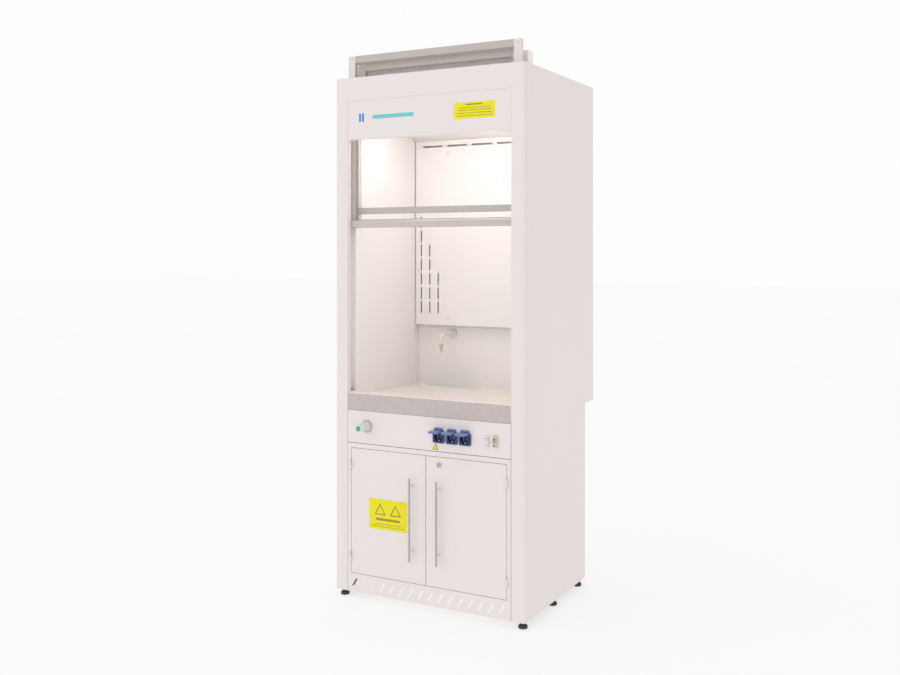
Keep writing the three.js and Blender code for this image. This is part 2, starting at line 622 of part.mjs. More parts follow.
add('test_button', rod('y', 4, [BREAKER_X, BUTTON_Z], [-15, -2], 16), glazing.clone());

// ---- cupboard ---------------------------------------------------------------------------------------
const KNUCKLES = [150, 545];
const KNUCKLE = { radius: 4.5, half: 18 };
const DOORWAY = { half: 371, z0: 79.5, z1: 619.5 };

// Front surround with the doorway, the folded edges and the slanted vents in the plinth.
function doorSurround() {
  const deep = [0, 16];
  const plate = block(both(PANEL), [0, SHEET], [0, SURROUND_Z]);
  const rimOuter = cut(
    block(both(PANEL), deep, [0, SURROUND_Z]),
    block(both(PANEL - SHEET), [-1, 20], [SHEET, SURROUND_Z - SHEET]),
  );
  const doorway = block(both(DOORWAY.half), [-5, 30], [DOORWAY.z0, DOORWAY.z1]);
  const reveal = block(both(DOORWAY.half + SHEET), [0, 20],
    [DOORWAY.z0 - SHEET, DOORWAY.z1 + SHEET]);
  const vents = [];
  const ventPitch = 46.7;
  const ventWidth = 11;
  const lean = 22;
  for (let i = 0; i < 16; i += 1) {
    const x = -370 + i * ventPitch;
    vents.push(prism(outline([
      [x, 18], [x + ventWidth, 18], [x + ventWidth + lean, 57], [x + lean, 57],
    ]), 'xz', [-5, 5]));
  }
  const knuckles = [];
  for (const z of KNUCKLES) {
    for (const [, side] of SIDES) {
      const upper = [z + GAP, z + KNUCKLE.half];
      knuckles.push(rod('z', KNUCKLE.radius, [side * HINGE_X, HINGE_Y], upper, 16));
      knuckles.push(block(span(side, HINGE_X + 1.5, HINGE_X + 9), [-2.5, 0.5], upper));
    }
  }
  return join(cut(join(plate, rimOuter, reveal), doorway, ...vents), ...knuckles);
}
add('door_surround', doorSurround(), paint);

// Doors are folded double skins, open inside, so the lock and the grips bolt through them.
const LOCK = { x: 63, z: 586 };
const GRIP = { x: 64, y: -26, z0: 174, z1: 521, posts: [219, 488], radius: 4, post: 3.5 };
for (const [label, side] of SIDES) {
  const skin = 1.2;
  const y = [GAP, DOOR.thick];
  const edges = span(side, DOOR.meeting, DOOR.edge);
  const shell = block(edges, y, [DOOR.z0, DOOR.z1]);
  const inside = block([edges[0] + skin, edges[1] - skin], [y[0] + skin, y[1] - skin],
    [DOOR.z0 + skin, DOOR.z1 - skin]);
  const drains = [60, 300].map((x) => rod('z', 3, [side * x, 9], [DOOR.z0 - 5, DOOR.z0 + 5], 10));
  const holes = [];
  if (side > 0) holes.push(rod('y', 9.6, [LOCK.x, LOCK.z], [-5, DOOR.thick + 5]));
  const knuckles = KNUCKLES.flatMap((z) => {
    const lower = [z - KNUCKLE.half, z];
    return [
      rod('z', KNUCKLE.radius, [side * HINGE_X, HINGE_Y], lower, 16),
      block(span(side, HINGE_X - 12, HINGE_X - 1.3), [-2.5, 0.8], lower),
    ];
  });
  add(`door_${label}`, join(cut(shell, inside, ...drains, ...holes), ...knuckles), paint);

  const bar = rod('z', GRIP.radius, [side * GRIP.x, GRIP.y], [GRIP.z0, GRIP.z1], 16);
  const posts = GRIP.posts.map((z) => rod('y', GRIP.post, [side * GRIP.x, z], [GRIP.y, 0], 12));
  add(`handle_${label}`, join(bar, ...posts), steel);
}

add('lock_barrel', join(
  turned('y', [
    [0, -3], [10, -3], [11, -1], [11, 0], [9, 0], [9, 21], [0, 21],
  ], [LOCK.x, LOCK.z], 24),
  block([LOCK.x - 8, LOCK.x + 40], [20.5, 23], [LOCK.z - 8, LOCK.z + 8]),
), steel);

add('cabinet_floor', block(both(LINED), [20.5, 640], [64, 78]), lining);
add('cabinet_shelf', block(both(LINED), [120, 600], [300, 316]), lining);

// ---- base and feet -----------------------------------------------------------------------------------
function baseFrame() {
  const height = [SHEET + GAP, 41];
  const beams = SIDES.map(([, side]) => cut(
    block(span(side, 400, 446), [18, 640], height),
    block(span(side, 403, 443), [21, 637], [height[0] + 3, 50]),
  ));
  const ties = [320, 600].map((y) => block(both(402), [y, y + 30], [height[0], 38]));
  return join(...beams, ...ties);
}
add('base_frame', baseFrame(), steel);

const FOOT_ROWS = [['front', 35], ['middle', 335], ['rear', 615]];
for (const [row, y] of FOOT_ROWS) {
  for (const [label, side] of SIDES) {
    add(`foot_${row}_${label}`, turned('z', [
      [0, -FOOT_HEIGHT], [18, -FOOT_HEIGHT], [19, -FOOT_HEIGHT + 2], [19, -20], [15, -15],
      [9, -13], [9, -9], [6, -9], [6, SHEET], [0, SHEET],
    ], [side * 425, y], 16), blackRubber);
  }
}

// ---- place the cabinet over its origin --------------------------------------------------------------
cabinet.position.set(0, -(DEPTH + VALVE.face) / 2, FOOT_HEIGHT);

export default cabinet;
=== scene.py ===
# %% [markdown]
# # A laboratory fume hood, dressed for a studio picture
#
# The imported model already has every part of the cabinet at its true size, in metres, with
# +Z up and the front facing -Y. This lesson keeps that frame, rounds the edges that are
# rolled or moulded on the real thing, adds the small parts that carry the eye (screws,
# seals, hinge pins, the tap) and gives every surface a procedural finish.

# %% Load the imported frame
import json
import math

import bmesh
import bpy
from mathutils import Matrix, Vector


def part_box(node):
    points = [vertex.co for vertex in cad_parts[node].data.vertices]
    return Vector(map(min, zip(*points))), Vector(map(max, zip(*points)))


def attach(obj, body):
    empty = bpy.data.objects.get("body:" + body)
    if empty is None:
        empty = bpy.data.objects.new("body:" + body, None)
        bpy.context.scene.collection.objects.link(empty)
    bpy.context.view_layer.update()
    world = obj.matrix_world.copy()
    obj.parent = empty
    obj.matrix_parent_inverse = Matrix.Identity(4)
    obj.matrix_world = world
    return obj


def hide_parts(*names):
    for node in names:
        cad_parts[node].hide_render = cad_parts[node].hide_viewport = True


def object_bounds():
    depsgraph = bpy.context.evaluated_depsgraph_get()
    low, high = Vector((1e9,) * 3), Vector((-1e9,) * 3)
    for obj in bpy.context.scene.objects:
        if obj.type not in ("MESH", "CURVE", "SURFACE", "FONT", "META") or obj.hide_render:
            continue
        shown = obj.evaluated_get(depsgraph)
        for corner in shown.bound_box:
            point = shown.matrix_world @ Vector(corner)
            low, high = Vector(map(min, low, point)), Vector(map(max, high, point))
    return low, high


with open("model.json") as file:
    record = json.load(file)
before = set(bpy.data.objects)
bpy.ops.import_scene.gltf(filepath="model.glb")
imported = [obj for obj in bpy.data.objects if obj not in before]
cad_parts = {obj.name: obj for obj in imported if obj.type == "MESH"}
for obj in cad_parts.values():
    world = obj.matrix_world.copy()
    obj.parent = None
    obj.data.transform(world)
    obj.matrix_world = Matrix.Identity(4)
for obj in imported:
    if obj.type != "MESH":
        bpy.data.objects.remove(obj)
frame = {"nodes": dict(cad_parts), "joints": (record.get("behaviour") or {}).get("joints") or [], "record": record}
cad_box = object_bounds()
scene = bpy.context.scene

# %% [markdown]
# ## Camera, light and floor
#
# The camera stands to the right of the cabinet at chest height and looks level, so upright
# edges stay upright. A small shift frames the cabinet instead of tilting the camera. The
# light is a bright white room with one large soft panel: it gives thin contact shadows and
# keeps the pale paint from burning out.

# %% Place the camera
camera_data = bpy.data.cameras.new("studio_camera")
camera_data.lens = 40.52
camera_data.shift_x = -0.0078
camera_data.shift_y = -0.096
camera = bpy.data.objects.new("studio_camera", camera_data)
front_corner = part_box("front_frame")[0]
camera.location = (2.0992, front_corner.y - 3.6257, front_corner.z + 1.4639)
camera.rotation_euler = (math.radians(90), 0, math.radians(28.3))
scene.collection.objects.link(camera)
scene.camera = camera
print("camera distance from the cabinet:", round(camera.location.length, 2), "m")

# %% Light the room
ROOM_WHITE = 0.985
ROOM_GREY = 0.70
world = bpy.data.worlds.new("white_room")
world.use_nodes = True
background = world.node_tree.nodes["Background"]
direction = world.node_tree.nodes.new("ShaderNodeTexCoord")
split = world.node_tree.nodes.new("ShaderNodeSeparateXYZ")
wall_shade = world.node_tree.nodes.new("ShaderNodeValToRGB")
wall_shade.color_ramp.elements[0].position = 0.05
wall_shade.color_ramp.elements[0].color = (ROOM_WHITE, ROOM_WHITE, ROOM_WHITE, 1.0)
wall_shade.color_ramp.elements[1].position = 1.0
wall_shade.color_ramp.elements[1].color = (ROOM_GREY, ROOM_GREY, ROOM_GREY, 1.0)
links = world.node_tree.links
links.new(direction.outputs["Generated"], split.inputs["Vector"])
links.new(split.outputs["X"], wall_shade.inputs["Fac"])
links.new(wall_shade.outputs["Color"], background.inputs["Color"])
background.inputs["Strength"].default_value = 1.0
scene.world = world
scene.view_settings.view_transform = "Standard"


def soft_panel(name, place, target, size, watts):
    """A large square light at place, turned towards target."""
    data = bpy.data.lights.new(name, "AREA")
    data.size = size
    data.energy = watts
    lamp = bpy.data.objects.new(name, data)
    lamp.location = place
    lamp.rotation_euler = (Vector(target) - Vector(place)).to_track_quat("-Z", "Y").to_euler()
    scene.collection.objects.link(lamp)
    return lamp


cabinet_middle = (0.0, 0.0, 1.1)
soft_panel("front_panel_light", (-2.2, -4.0, 3.4), cabinet_middle, 3.0, 4)

# %% [markdown]
# ## A short way to write shader maths
#
# A material is a graph of nodes, but a formula is easier to read as a formula. `Signal`
# wraps one output socket and turns `+` and `*` into Math nodes. `Finish` starts a
# material and makes any other node through one method, so each finish below stays a few
# lines long.

# %% Wrap sockets and materials
class Signal:
    """A number that varies over a surface, usable in Python sums."""

    def __init__(self, finish, socket):
        self.finish = finish
        self.socket = socket

    def _math(self, operation, first, second):
        return self.finish.node("Math", {"operation": operation}, {0: first, 1: second})

    def __add__(self, other):
        return self._math("ADD", self, other)

    __radd__ = __add__

    def __mul__(self, other):
        return self._math("MULTIPLY", self, other)

    __rmul__ = __mul__


class Finish:
    """One procedural material, built around a Principled BSDF."""

    def __init__(self, name):
        self.material = bpy.data.materials.new(name)
        self.material.use_nodes = True
        self.tree = self.material.node_tree
        self.shader = self.tree.nodes["Principled BSDF"]

    def node(self, kind, settings, sockets, output=0):
        made = self.tree.nodes.new("ShaderNode" + kind)
        for key, value in settings.items():
            if key == "stops":
                ramp = made.color_ramp.elements
                for index, (position, shade) in enumerate(value):
                    stop = ramp[index] if index < len(ramp) else ramp.new(position)
                    stop.position = position
                    stop.color = (*shade, 1.0)
            else:
                setattr(made, key, value)
        for key, value in sockets.items():
            if isinstance(value, Signal):
                self.tree.links.new(value.socket, made.inputs[key])
            else:
                made.inputs[key].default_value = value
        return Signal(self, made.outputs[output])

    def feed(self, **sockets):
        """Sets the shader's own sockets: a Signal is linked, a plain value is typed in."""
        for key, value in sockets.items():
            socket = self.shader.inputs[key.replace("_", " ")]
            if isinstance(value, Signal):
                self.tree.links.new(value.socket, socket)
            else:
                socket.default_value = value

    def place(self, stretch=(1, 1, 1)):
        """Object coordinates in metres, with a stretch for grain."""
        spot = self.node("TexCoord", {}, {}, "Object")
        return self.node("Mapping", {}, {"Vector": spot, "Scale": stretch})

    def noise(self, scale, detail=2.0, stretch=(1, 1, 1)):
        sockets = {"Vector": self.place(stretch), "Scale": scale, "Detail": detail}
        return self.node("TexNoise", {}, sockets, "Fac")

    def tint(self, factor, first, second):
        """A colour between two shades."""
        stops = [(0.0, first), (1.0, second)]
        return self.node("ValToRGB", {"stops": stops}, {"Fac": factor}, "Color")

    def bump(self, height, strength, distance):
        sockets = {"Height": height, "Strength": strength, "Distance": distance}
        return self.node("Bump", {}, sockets, "Normal")


def shade(colour, factor):
    return tuple(channel * factor for channel in colour)


print("shader helpers ready")

# %% [markdown]
# ## Powder coat and other paints
#
# The casing is folded steel with a baked epoxy powder coat. Close up such paint has a fine
# "orange peel" relief, and over a whole panel its shade drifts very slightly. Two noises do
# this: a fine one drives the bump and a broad one the colour and gloss.

# %% Paint, laminate and ceramic
def powder_coat(name, colour, roughness=0.42):
    finish = Finish(name)
    drift = finish.noise(3.0, 3.0)
    peel = finish.noise(520.0, 2.0)
    finish.feed(
        Base_Color=finish.tint(drift, shade(colour, 0.975), shade(colour, 1.02)),
        Roughness=drift * 0.12 + peel * 0.06 + (roughness - 0.09),
        Normal=finish.bump(peel, 0.12, 0.0004),
    )
    return finish.material


def laminate(name, colour):
    """Solid-core board: satin, with a barely visible fleck."""
    finish = Finish(name)
    fleck = finish.noise(900.0, 4.0)
    broad = finish.noise(2.0, 2.0)
    finish.feed(
        Base_Color=finish.tint(fleck * 0.6 + broad * 0.4, shade(colour, 0.97), shade(colour, 1.03)),
        Roughness=broad * 0.14 + 0.30,
        Normal=finish.bump(fleck, 0.05, 0.0002),
    )
    return finish.material


def glazed_ceramic(name, colour):
    """Stoneware with a clear glaze: soft mottling under a glossy coat."""
    finish = Finish(name)
    mottle = finish.noise(60.0, 5.0)
    ripple = finish.noise(14.0, 2.0)
    finish.feed(
        Base_Color=finish.tint(mottle, shade(colour, 0.90), shade(colour, 1.08)),
        Roughness=mottle * 0.10 + 0.32,
        Coat_Weight=0.35,
        Coat_Roughness=0.12,
        Normal=finish.bump(ripple, 0.08, 0.001),
    )
    return finish.material


CASING = (0.850, 0.790, 0.775)
paint = powder_coat("casing_powder_coat", CASING)
# A whiter copy of the casing paint for the lamp housing, the sash guides and the header seal: painted light,
# lifting parts that sit in shade.
casing_paint_painted_light = powder_coat("casing_enamel_painted_light", (0.96, 0.92, 0.90))
lining = laminate("chamber_laminate", (0.94, 0.90, 0.885))
ceramic = glazed_ceramic("glazed_stoneware", (0.93, 0.855, 0.80))
# The rim's front face takes a darker copy of the same glaze: painted shade, as the lamp lights the top and not the
# front.
ceramic_painted_shade_front = glazed_ceramic("glaze_front_painted_shade", (0.57, 0.505, 0.485))
print("casing shade:", CASING)

# %% [markdown]
# ## Metals
#
# Anodised profiles keep the faint lines of extrusion and satin tubes those of the polishing
# belt. Noise stretched a hundredfold along the bar gives both: squeezing the coordinates
# across the grain makes long thin streaks.

# %% Aluminium, steel and iron
def streaked_metal(name, colour, grain, roughness, metallic=1.0):
    """grain is the stretch of the pattern: small along the bar, large across it."""
    finish = Finish(name)
    lines = finish.noise(1.0, 3.0, grain)
    cloud = finish.noise(9.0, 2.0)
    finish.feed(
        Base_Color=finish.tint(lines * 0.7 + cloud * 0.3, shade(colour, 0.90), shade(colour, 1.08)),
        Roughness=lines * 0.16 + (roughness - 0.08),
        Metallic=metallic,
        Normal=finish.bump(lines, 0.10, 0.0003),
    )
    return finish.material


ACROSS, ALONG = 1400.0, 6.0
RAIL_GRAIN = (ALONG, ACROSS, ACROSS)
STILE_GRAIN = (ACROSS, ACROSS, ALONG)
# The stiles and the upper leaf get lighter copies of the same aluminium: painted light, standing in for the shade
# they sit in.
SILVER = (0.560, 0.505, 0.480)
REAR_SILVER_PAINTED_LIGHT = (0.650, 0.595, 0.540)
aluminium = streaked_metal("anodised_rail", SILVER, RAIL_GRAIN, 0.50, 0.35)
STILE_SILVER_PAINTED_LIGHT = (0.80, 0.745, 0.705)
REAR_STILE_SILVER_PAINTED_LIGHT = (0.730, 0.675, 0.620)
stile_aluminium_painted_light = streaked_metal("anodised_stile_painted_light", STILE_SILVER_PAINTED_LIGHT, STILE_GRAIN, 0.50, 0.35)
rear_rail_painted_light = streaked_metal("rear_leaf_rail_painted_light", REAR_SILVER_PAINTED_LIGHT, RAIL_GRAIN, 0.50, 0.35)
rear_stile_painted_light = streaked_metal("rear_leaf_stile_painted_light", REAR_STILE_SILVER_PAINTED_LIGHT, STILE_GRAIN, 0.50, 0.35)
grip_silver = streaked_metal("grip_rail", (0.640, 0.590, 0.550), RAIL_GRAIN, 0.42, 0.35)
satin_steel = streaked_metal("brushed_tube", (0.46, 0.45, 0.44), (ACROSS, ACROSS, ALONG), 0.30)
screw_steel = streaked_metal("screw_steel", (0.55, 0.54, 0.53), (400.0, 400.0, 400.0), 0.28)


def spangled_zinc(name, dark, light, metallic):
    """Galvanised sheet: large crystals, each a slightly different grey."""
    finish = Finish(name)
    sockets = {"Vector": finish.place(), "Scale": 70.0}
    crystal = finish.node("TexVoronoi", {}, sockets, "Color")
    level = finish.node("RGBToBW", {}, {"Color": crystal})
    finish.feed(
        Base_Color=finish.tint(level, dark, light),
        Roughness=level * 0.2 + 0.30,
        Metallic=metallic,
    )
    return finish.material


def sand_cast(name, colour):
    finish = Finish(name)
    grains = finish.noise(260.0, 6.0)
    finish.feed(
        Base_Color=finish.tint(grains, shade(colour, 0.7), shade(colour, 1.4)),
        Roughness=grains * 0.2 + 0.65,
        Metallic=0.6,
        Normal=finish.bump(grains, 0.5, 0.001),
    )
    return finish.material


zinc = spangled_zinc("spangled_sheet", (0.42, 0.43, 0.44), (0.60, 0.61, 0.62), 0.9)
# A dark copy of the zinc: painted shade, for the base frame inside the plinth.
zinc_painted_shade = spangled_zinc("sheet_painted_shade", (0.17, 0.165, 0.165), (0.24, 0.235, 0.235), 0.3)
iron = sand_cast("sand_cast_block", (0.07, 0.07, 0.075))
print("metals:", aluminium.name, satin_steel.name, zinc.name, iron.name)

# %% [markdown]
# ## Plastics, rubber, glass and light
#
# Moulded plastic takes a fine spark-eroded grain from its mould. Toughened glass is nearly
# invisible here, so it is a thin, low-alpha glossy skin rather than a refracting block: that
# also keeps the chamber behind it bright.

# %% Moulded parts, seals and glazing
def moulded(name, colour, roughness=0.38, grain=0.10):
    finish = Finish(name)
    spark = finish.noise(1500.0, 2.0)
    flow = finish.noise(30.0, 2.0)
    finish.feed(
        Base_Color=finish.tint(flow, shade(colour, 0.94), shade(colour, 1.06)),
        Roughness=flow * 0.1 + spark * 0.08 + (roughness - 0.09),
        Normal=finish.bump(spark, grain, 0.0002),
    )
    return finish.material


def clear_glass(name, colour, alpha):
    finish = Finish(name)
    smear = finish.noise(5.0, 3.0)
    finish.feed(
        Base_Color=finish.tint(smear, shade(colour, 0.96), colour),
        Roughness=smear * 0.05 + 0.02,
        Alpha=alpha,
    )
    return finish.material


def lamp_glow(name, colour, strength):
    finish = Finish(name)
    ends = finish.noise(8.0, 1.0)
    finish.feed(
        Base_Color=finish.tint(ends, shade(colour, 0.95), colour),
        Emission_Color=finish.tint(ends, shade(colour, 0.92), colour),
        Emission_Strength=strength,
        Roughness=0.4,
    )
    return finish.material


white_plastic = moulded("white_moulding", (0.80, 0.78, 0.75))
sink_plastic = moulded("sink_moulding", (0.95, 0.935, 0.92), 0.32)
grey_plastic = moulded("grey_moulding", (0.42, 0.40, 0.39))
recess_painted_shade = moulded("recess_painted_shade", (0.022, 0.034, 0.14))
blue_plastic = moulded("blue_plastic", (0.061, 0.091, 0.305))
lid_and_lit_top_plastic = moulded("lid_and_lit_top_plastic", (0.165, 0.215, 0.44), 0.30)
rib_painted_highlight = moulded("rib_painted_highlight", (0.50, 0.55, 0.78), 0.30)
rosette_plastic = moulded("rosette_moulding", (0.54, 0.51, 0.50))
breaker_plastic = moulded("breaker_moulding", (0.62, 0.60, 0.56))
lever_plastic = moulded("lever_moulding", (0.40, 0.39, 0.32))
pale_yellow = moulded("pale_yellow_moulding", (0.80, 0.72, 0.30))
post_steel = streaked_metal("polished_post", (0.80, 0.77, 0.75), (400.0, 400.0, 400.0), 0.35, 0.3)
teal_plastic = moulded("teal_plastic", (0.065, 0.42, 0.40))
olive_plastic = moulded("olive_plastic", (0.30, 0.30, 0.07))
nozzle_plastic = moulded("nozzle_plastic", (0.66, 0.62, 0.47))
black_print_and_shade_plastic = moulded("black_moulding_and_keyway_shade", (0.030, 0.030, 0.034), 0.45)
black_rubber = moulded("black_rubber", (0.055, 0.052, 0.052), 0.75, 0.3)
grey_seal = moulded("grey_seal", (0.50, 0.46, 0.43), 0.6, 0.2)
glass = clear_glass("toughened_glass", (0.93, 0.95, 0.94), 0.04)
tube_light = lamp_glow("lamp_tube_glow", (1.0, 0.96, 0.90), 2.5)
print("materials made:", len(bpy.data.materials))

# %% [markdown]
# ## Shaping helpers
#
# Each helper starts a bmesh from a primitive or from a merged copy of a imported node. The
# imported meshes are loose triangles, so a copy is welded and its flat triangles dissolved
# before its edges can be bevelled. `piece` writes the finished bmesh to an object, shades it
# smooth up to 35 degrees, and makes it ride on its body.

# %% Write a bmesh out as a riding piece
SHARP = math.radians(35)


def piece(bm, name, finish, body, replaces=()):
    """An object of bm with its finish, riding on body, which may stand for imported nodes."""
    mesh = bpy.data.meshes.new(name)
    bm.to_mesh(mesh)
    bm.free()
    mesh.materials.append(finish)
    mesh.shade_smooth()
    mesh.set_sharp_from_angle(angle=SHARP)
    made = bpy.data.objects.new(name, mesh)
    scene.collection.objects.link(made)
    if replaces:
        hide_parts(*replaces)
    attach(made, body)
    return made


def creased(bm, angle=30.0, keep=lambda edge: True):
    """The edges where two faces meet at more than angle degrees."""
    limit = math.radians(angle)
    return [
        edge for edge in bm.edges
        if len(edge.link_faces) == 2 and edge.calc_face_angle(0.0) > limit and keep(edge)
    ]


def roll_edges(bm, width, segments=2, angle=30.0, keep=lambda edge: True):
    bmesh.ops.bevel(
        bm, geom=creased(bm, angle, keep), offset=width, offset_type="OFFSET", affect="EDGES",
        segments=segments, profile=0.5, clamp_overlap=True, material=-1,
    )


def welded_copy(node):
    """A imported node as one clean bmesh, without the diagonals of its flat faces."""
    bm = bmesh.new()
    bm.from_mesh(frame["nodes"][node].data)
    bmesh.ops.remove_doubles(bm, verts=bm.verts, dist=0.00002)
    bmesh.ops.dissolve_limit(
        bm, angle_limit=math.radians(0.5), use_dissolve_boundaries=False,
        verts=bm.verts, edges=bm.edges, delimit=set(),
    )
    return bm


def body_of(node):
    return next(body for body, nodes in frame["record"]["behaviour"]["bodies"].items()
                if node in nodes)


BROAD = 0.00005   # square metres


def flatten(mesh):
    """Shades the broad upright and level faces flat, so a rolled edge doesn't dish them."""
    for face in mesh.polygons:
        square_on = max(abs(part) for part in face.normal) > 0.9999
        if square_on and face.area > BROAD:
            face.use_smooth = False


def rolled(node, finish, width=0.0004, segments=2, cuts=()):
    """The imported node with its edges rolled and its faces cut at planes, standing for it."""
    bm = welded_copy(node)
    roll_edges(bm, width, segments)
    for place, normal in cuts:
        bmesh.ops.bisect_plane(
            bm, geom=bm.verts[:] + bm.edges[:] + bm.faces[:], dist=0.000001,
            plane_co=place, plane_no=normal,
        )
    made = piece(bm, node + "_skin", finish, body_of(node), [node])
    flatten(made.data)
    return made


def recolour(made, finish, chosen):
    """Gives a second finish to the faces of made that chosen picks."""
    made.data.materials.append(finish)
    for face in made.data.polygons:
        if chosen(face):
            face.material_index = len(made.data.materials) - 1


# %% [markdown]
# Round parts are turned on a lathe: a profile of radius and height is spun about an axis.
# A full spin merges its ends, and the normals are recalculated because a spin may turn the
# surface inside out.

# %% Turn, block, pipe
AXES = {
    "x": Matrix.Rotation(math.radians(90), 3, "Y"),
    "y": Matrix.Rotation(math.radians(-90), 3, "X"),
    "z": Matrix.Identity(3),
}


def merge(fresh, bm):
    """Adds everything in fresh to bm."""
    mesh = bpy.data.meshes.new("part")
    fresh.to_mesh(mesh)
    fresh.free()
    bm.from_mesh(mesh)
    bpy.data.meshes.remove(mesh)


def turn(profile, place, axis="z", steps=40, bm=None):
    """Spins (radius, along) points about an axis through place, into bm or a new bmesh."""
    fresh = bmesh.new()
    verts = [fresh.verts.new((radius, 0.0, along)) for radius, along in profile]
    edges = [fresh.edges.new(pair) for pair in zip(verts, verts[1:])]
    bmesh.ops.spin(
        fresh, geom=verts + edges, axis=(0, 0, 1), cent=(0, 0, 0), angle=math.tau,
        steps=steps, use_merge=True,
    )
    bmesh.ops.rotate(fresh, verts=fresh.verts, cent=(0, 0, 0), matrix=AXES[axis])
    bmesh.ops.translate(fresh, verts=fresh.verts, vec=Vector(place))
    bmesh.ops.remove_doubles(fresh, verts=fresh.verts, dist=0.000005)
    bmesh.ops.recalc_face_normals(fresh, faces=fresh.faces)
    if bm is None:
        return fresh
    merge(fresh, bm)
    return bm


def block(low, high, bm=None, width=0.0, segments=2):
    """A box between two corners, with rolled edges if width is given."""
    bm = bm or bmesh.new()
    low, high = Vector(low), Vector(high)
    made = bmesh.ops.create_cube(bm, size=1.0)["verts"]
    bmesh.ops.scale(bm, vec=high - low, verts=made)
    bmesh.ops.translate(bm, vec=(high + low) / 2, verts=made)
    if width:
        edges = {edge for vert in made for edge in vert.link_edges}
        bmesh.ops.bevel(
            bm, geom=list(edges), offset=width, offset_type="OFFSET", affect="EDGES",
            segments=segments, profile=0.5, clamp_overlap=True, material=-1,
        )
    return bm


def pipe(points, radius, bend, sides=20, bm=None):
    """A round bar along straight legs joined by bends of the given radius."""
    bm = bm or bmesh.new()
    points = [Vector(point) for point in points]
    path = [points[0]]
    for before, corner, after in zip(points, points[1:], points[2:]):
        start = corner + (before - corner).normalized() * bend
        end = corner + (after - corner).normalized() * bend
        for step in range(9):
            t = step / 8
            path.append(start.lerp(corner, t).lerp(corner.lerp(end, t), t))
    path.append(points[-1])
    heading = (path[1] - path[0]).normalized()
    turn_to = heading.to_track_quat("Z", "Y").to_matrix().to_4x4()
    ring = bmesh.ops.create_circle(
        bm, cap_ends=True, radius=radius, segments=sides,
        matrix=Matrix.Translation(path[0]) @ turn_to,
    )["verts"]
    edges = list({edge for vert in ring for edge in vert.link_edges})
    for here, there in zip(path, path[1:]):
        step = there - here
        if step.length < 1e-6:
            continue
        made = bmesh.ops.extrude_edge_only(bm, edges=edges)["geom"]
        ring = [item for item in made if isinstance(item, bmesh.types.BMVert)]
        edges = [item for item in made if isinstance(item, bmesh.types.BMEdge)
                 and all(vert in ring for vert in item.verts)]
        direction = step.normalized()
        swing = heading.rotation_difference(direction).to_matrix()
        bmesh.ops.rotate(bm, cent=here, matrix=swing, verts=ring)
        bmesh.ops.translate(bm, vec=step, verts=ring)
        heading = direction
    bmesh.ops.contextual_create(bm, geom=edges)
    bmesh.ops.recalc_face_normals(bm, faces=bm.faces)
    return bm


def middle(node):
    low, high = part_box(node)
    return (low + high) / 2


# %% [markdown]
# ## The folded steel casing
#
# Sheet metal is never razor sharp: a press brake leaves an outer radius of about the sheet's
# thickness. A small bevel on every fold catches a thin line of light, which is what makes
# white panels readable against each other. Large flat parts need nothing else.

# %% Roll the folds of the casing
FOLD = 0.0006
for node in ("front_frame", "side_panel_left", "side_panel_right", "roof_panel", "rear_panel",
             "header_panel", "control_panel", "door_surround"):
    rolled(node, paint, FOLD)
# The lamp housing takes the whiter copy of the casing paint: painted light.
rolled("lamp_housing", casing_paint_painted_light, FOLD)
DOOR_FOLD = 0.0008
for node in ("door_left", "door_right"):
    rolled(node, paint, DOOR_FOLD, 3)
low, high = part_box("header_panel")
column_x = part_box("inner_wall_right")[0].x
seal_y = (low.y + 0.0012, low.y + 0.0040)
# The seal fills the groove beside and above the header in the whiter paint: painted light where the groove is in
# shade.
header_seal = bmesh.new()
for a, b in ((high.x, column_x), (-column_x, low.x)):
    block((a - 0.0002, seal_y[0], low.z), (b + 0.0002, seal_y[1], high.z), header_seal)
block((low.x, seal_y[0], high.z - 0.0002), (high.x, seal_y[1], high.z + 0.0017), header_seal)
piece(header_seal, "header_seal", casing_paint_painted_light, "cabinet")
print("casing panels rolled to", FOLD * 1000, "mm, doors to", DOOR_FOLD * 1000, "mm")

# %% [markdown]
# ## The lined chamber
#
# The walls, ceiling and baffle are cut from solid board, so their edges only have the light
# chamfer that a router leaves. The worktop is one piece of glazed stoneware: its raised rim
# is rounded far more, because the glaze flows over it in the kiln.

# %% Line the chamber
for node in ("inner_wall_left", "inner_wall_right", "back_wall", "chamber_ceiling", "baffle",
             "cabinet_floor", "cabinet_shelf"):
    rolled(node, lining, 0.0005)
slab = rolled("worktop", ceramic, 0.0016, 3)
rim_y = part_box("worktop")[0].y + 0.001
# Painted shade: the front faces of the rim take the darker copy of the glaze.
recolour(slab, ceramic_painted_shade_front, lambda face: face.normal.y < -0.9 and face.center.y < rim_y)

# %% [markdown]
# ## Sash leaves
#
# Both leaves are glazed frames of anodised profile. Rails and stiles are separate lengths of
# extrusion, so the grain has to run along each of them: the frame is cut where a rail meets a
# stile and the upright pieces get the upright grain. The stiles also take a lighter copy of the
# aluminium, and the upper leaf has its own copies: painted light, against the shade they sit in.
# The glass sits in a grey rubber bead.

# %% Frame, bead and glass of a leaf
def hollow_out(bm, wall, depth):
    """Turns the only face of bm into a ring, wall wide, and thickens it by depth along y."""
    face = bm.faces[:][0]
    rim = bmesh.ops.inset_region(
        bm, faces=[face], thickness=wall, use_boundary=True, use_even_offset=True,
    )["faces"]
    bmesh.ops.delete(bm, geom=[face], context="FACES")
    back = bmesh.ops.extrude_face_region(bm, geom=rim)["geom"]
    verts = [item for item in back if isinstance(item, bmesh.types.BMVert)]
    bmesh.ops.translate(bm, verts=verts, vec=(0, depth, 0))
    bmesh.ops.recalc_face_normals(bm, faces=bm.faces)


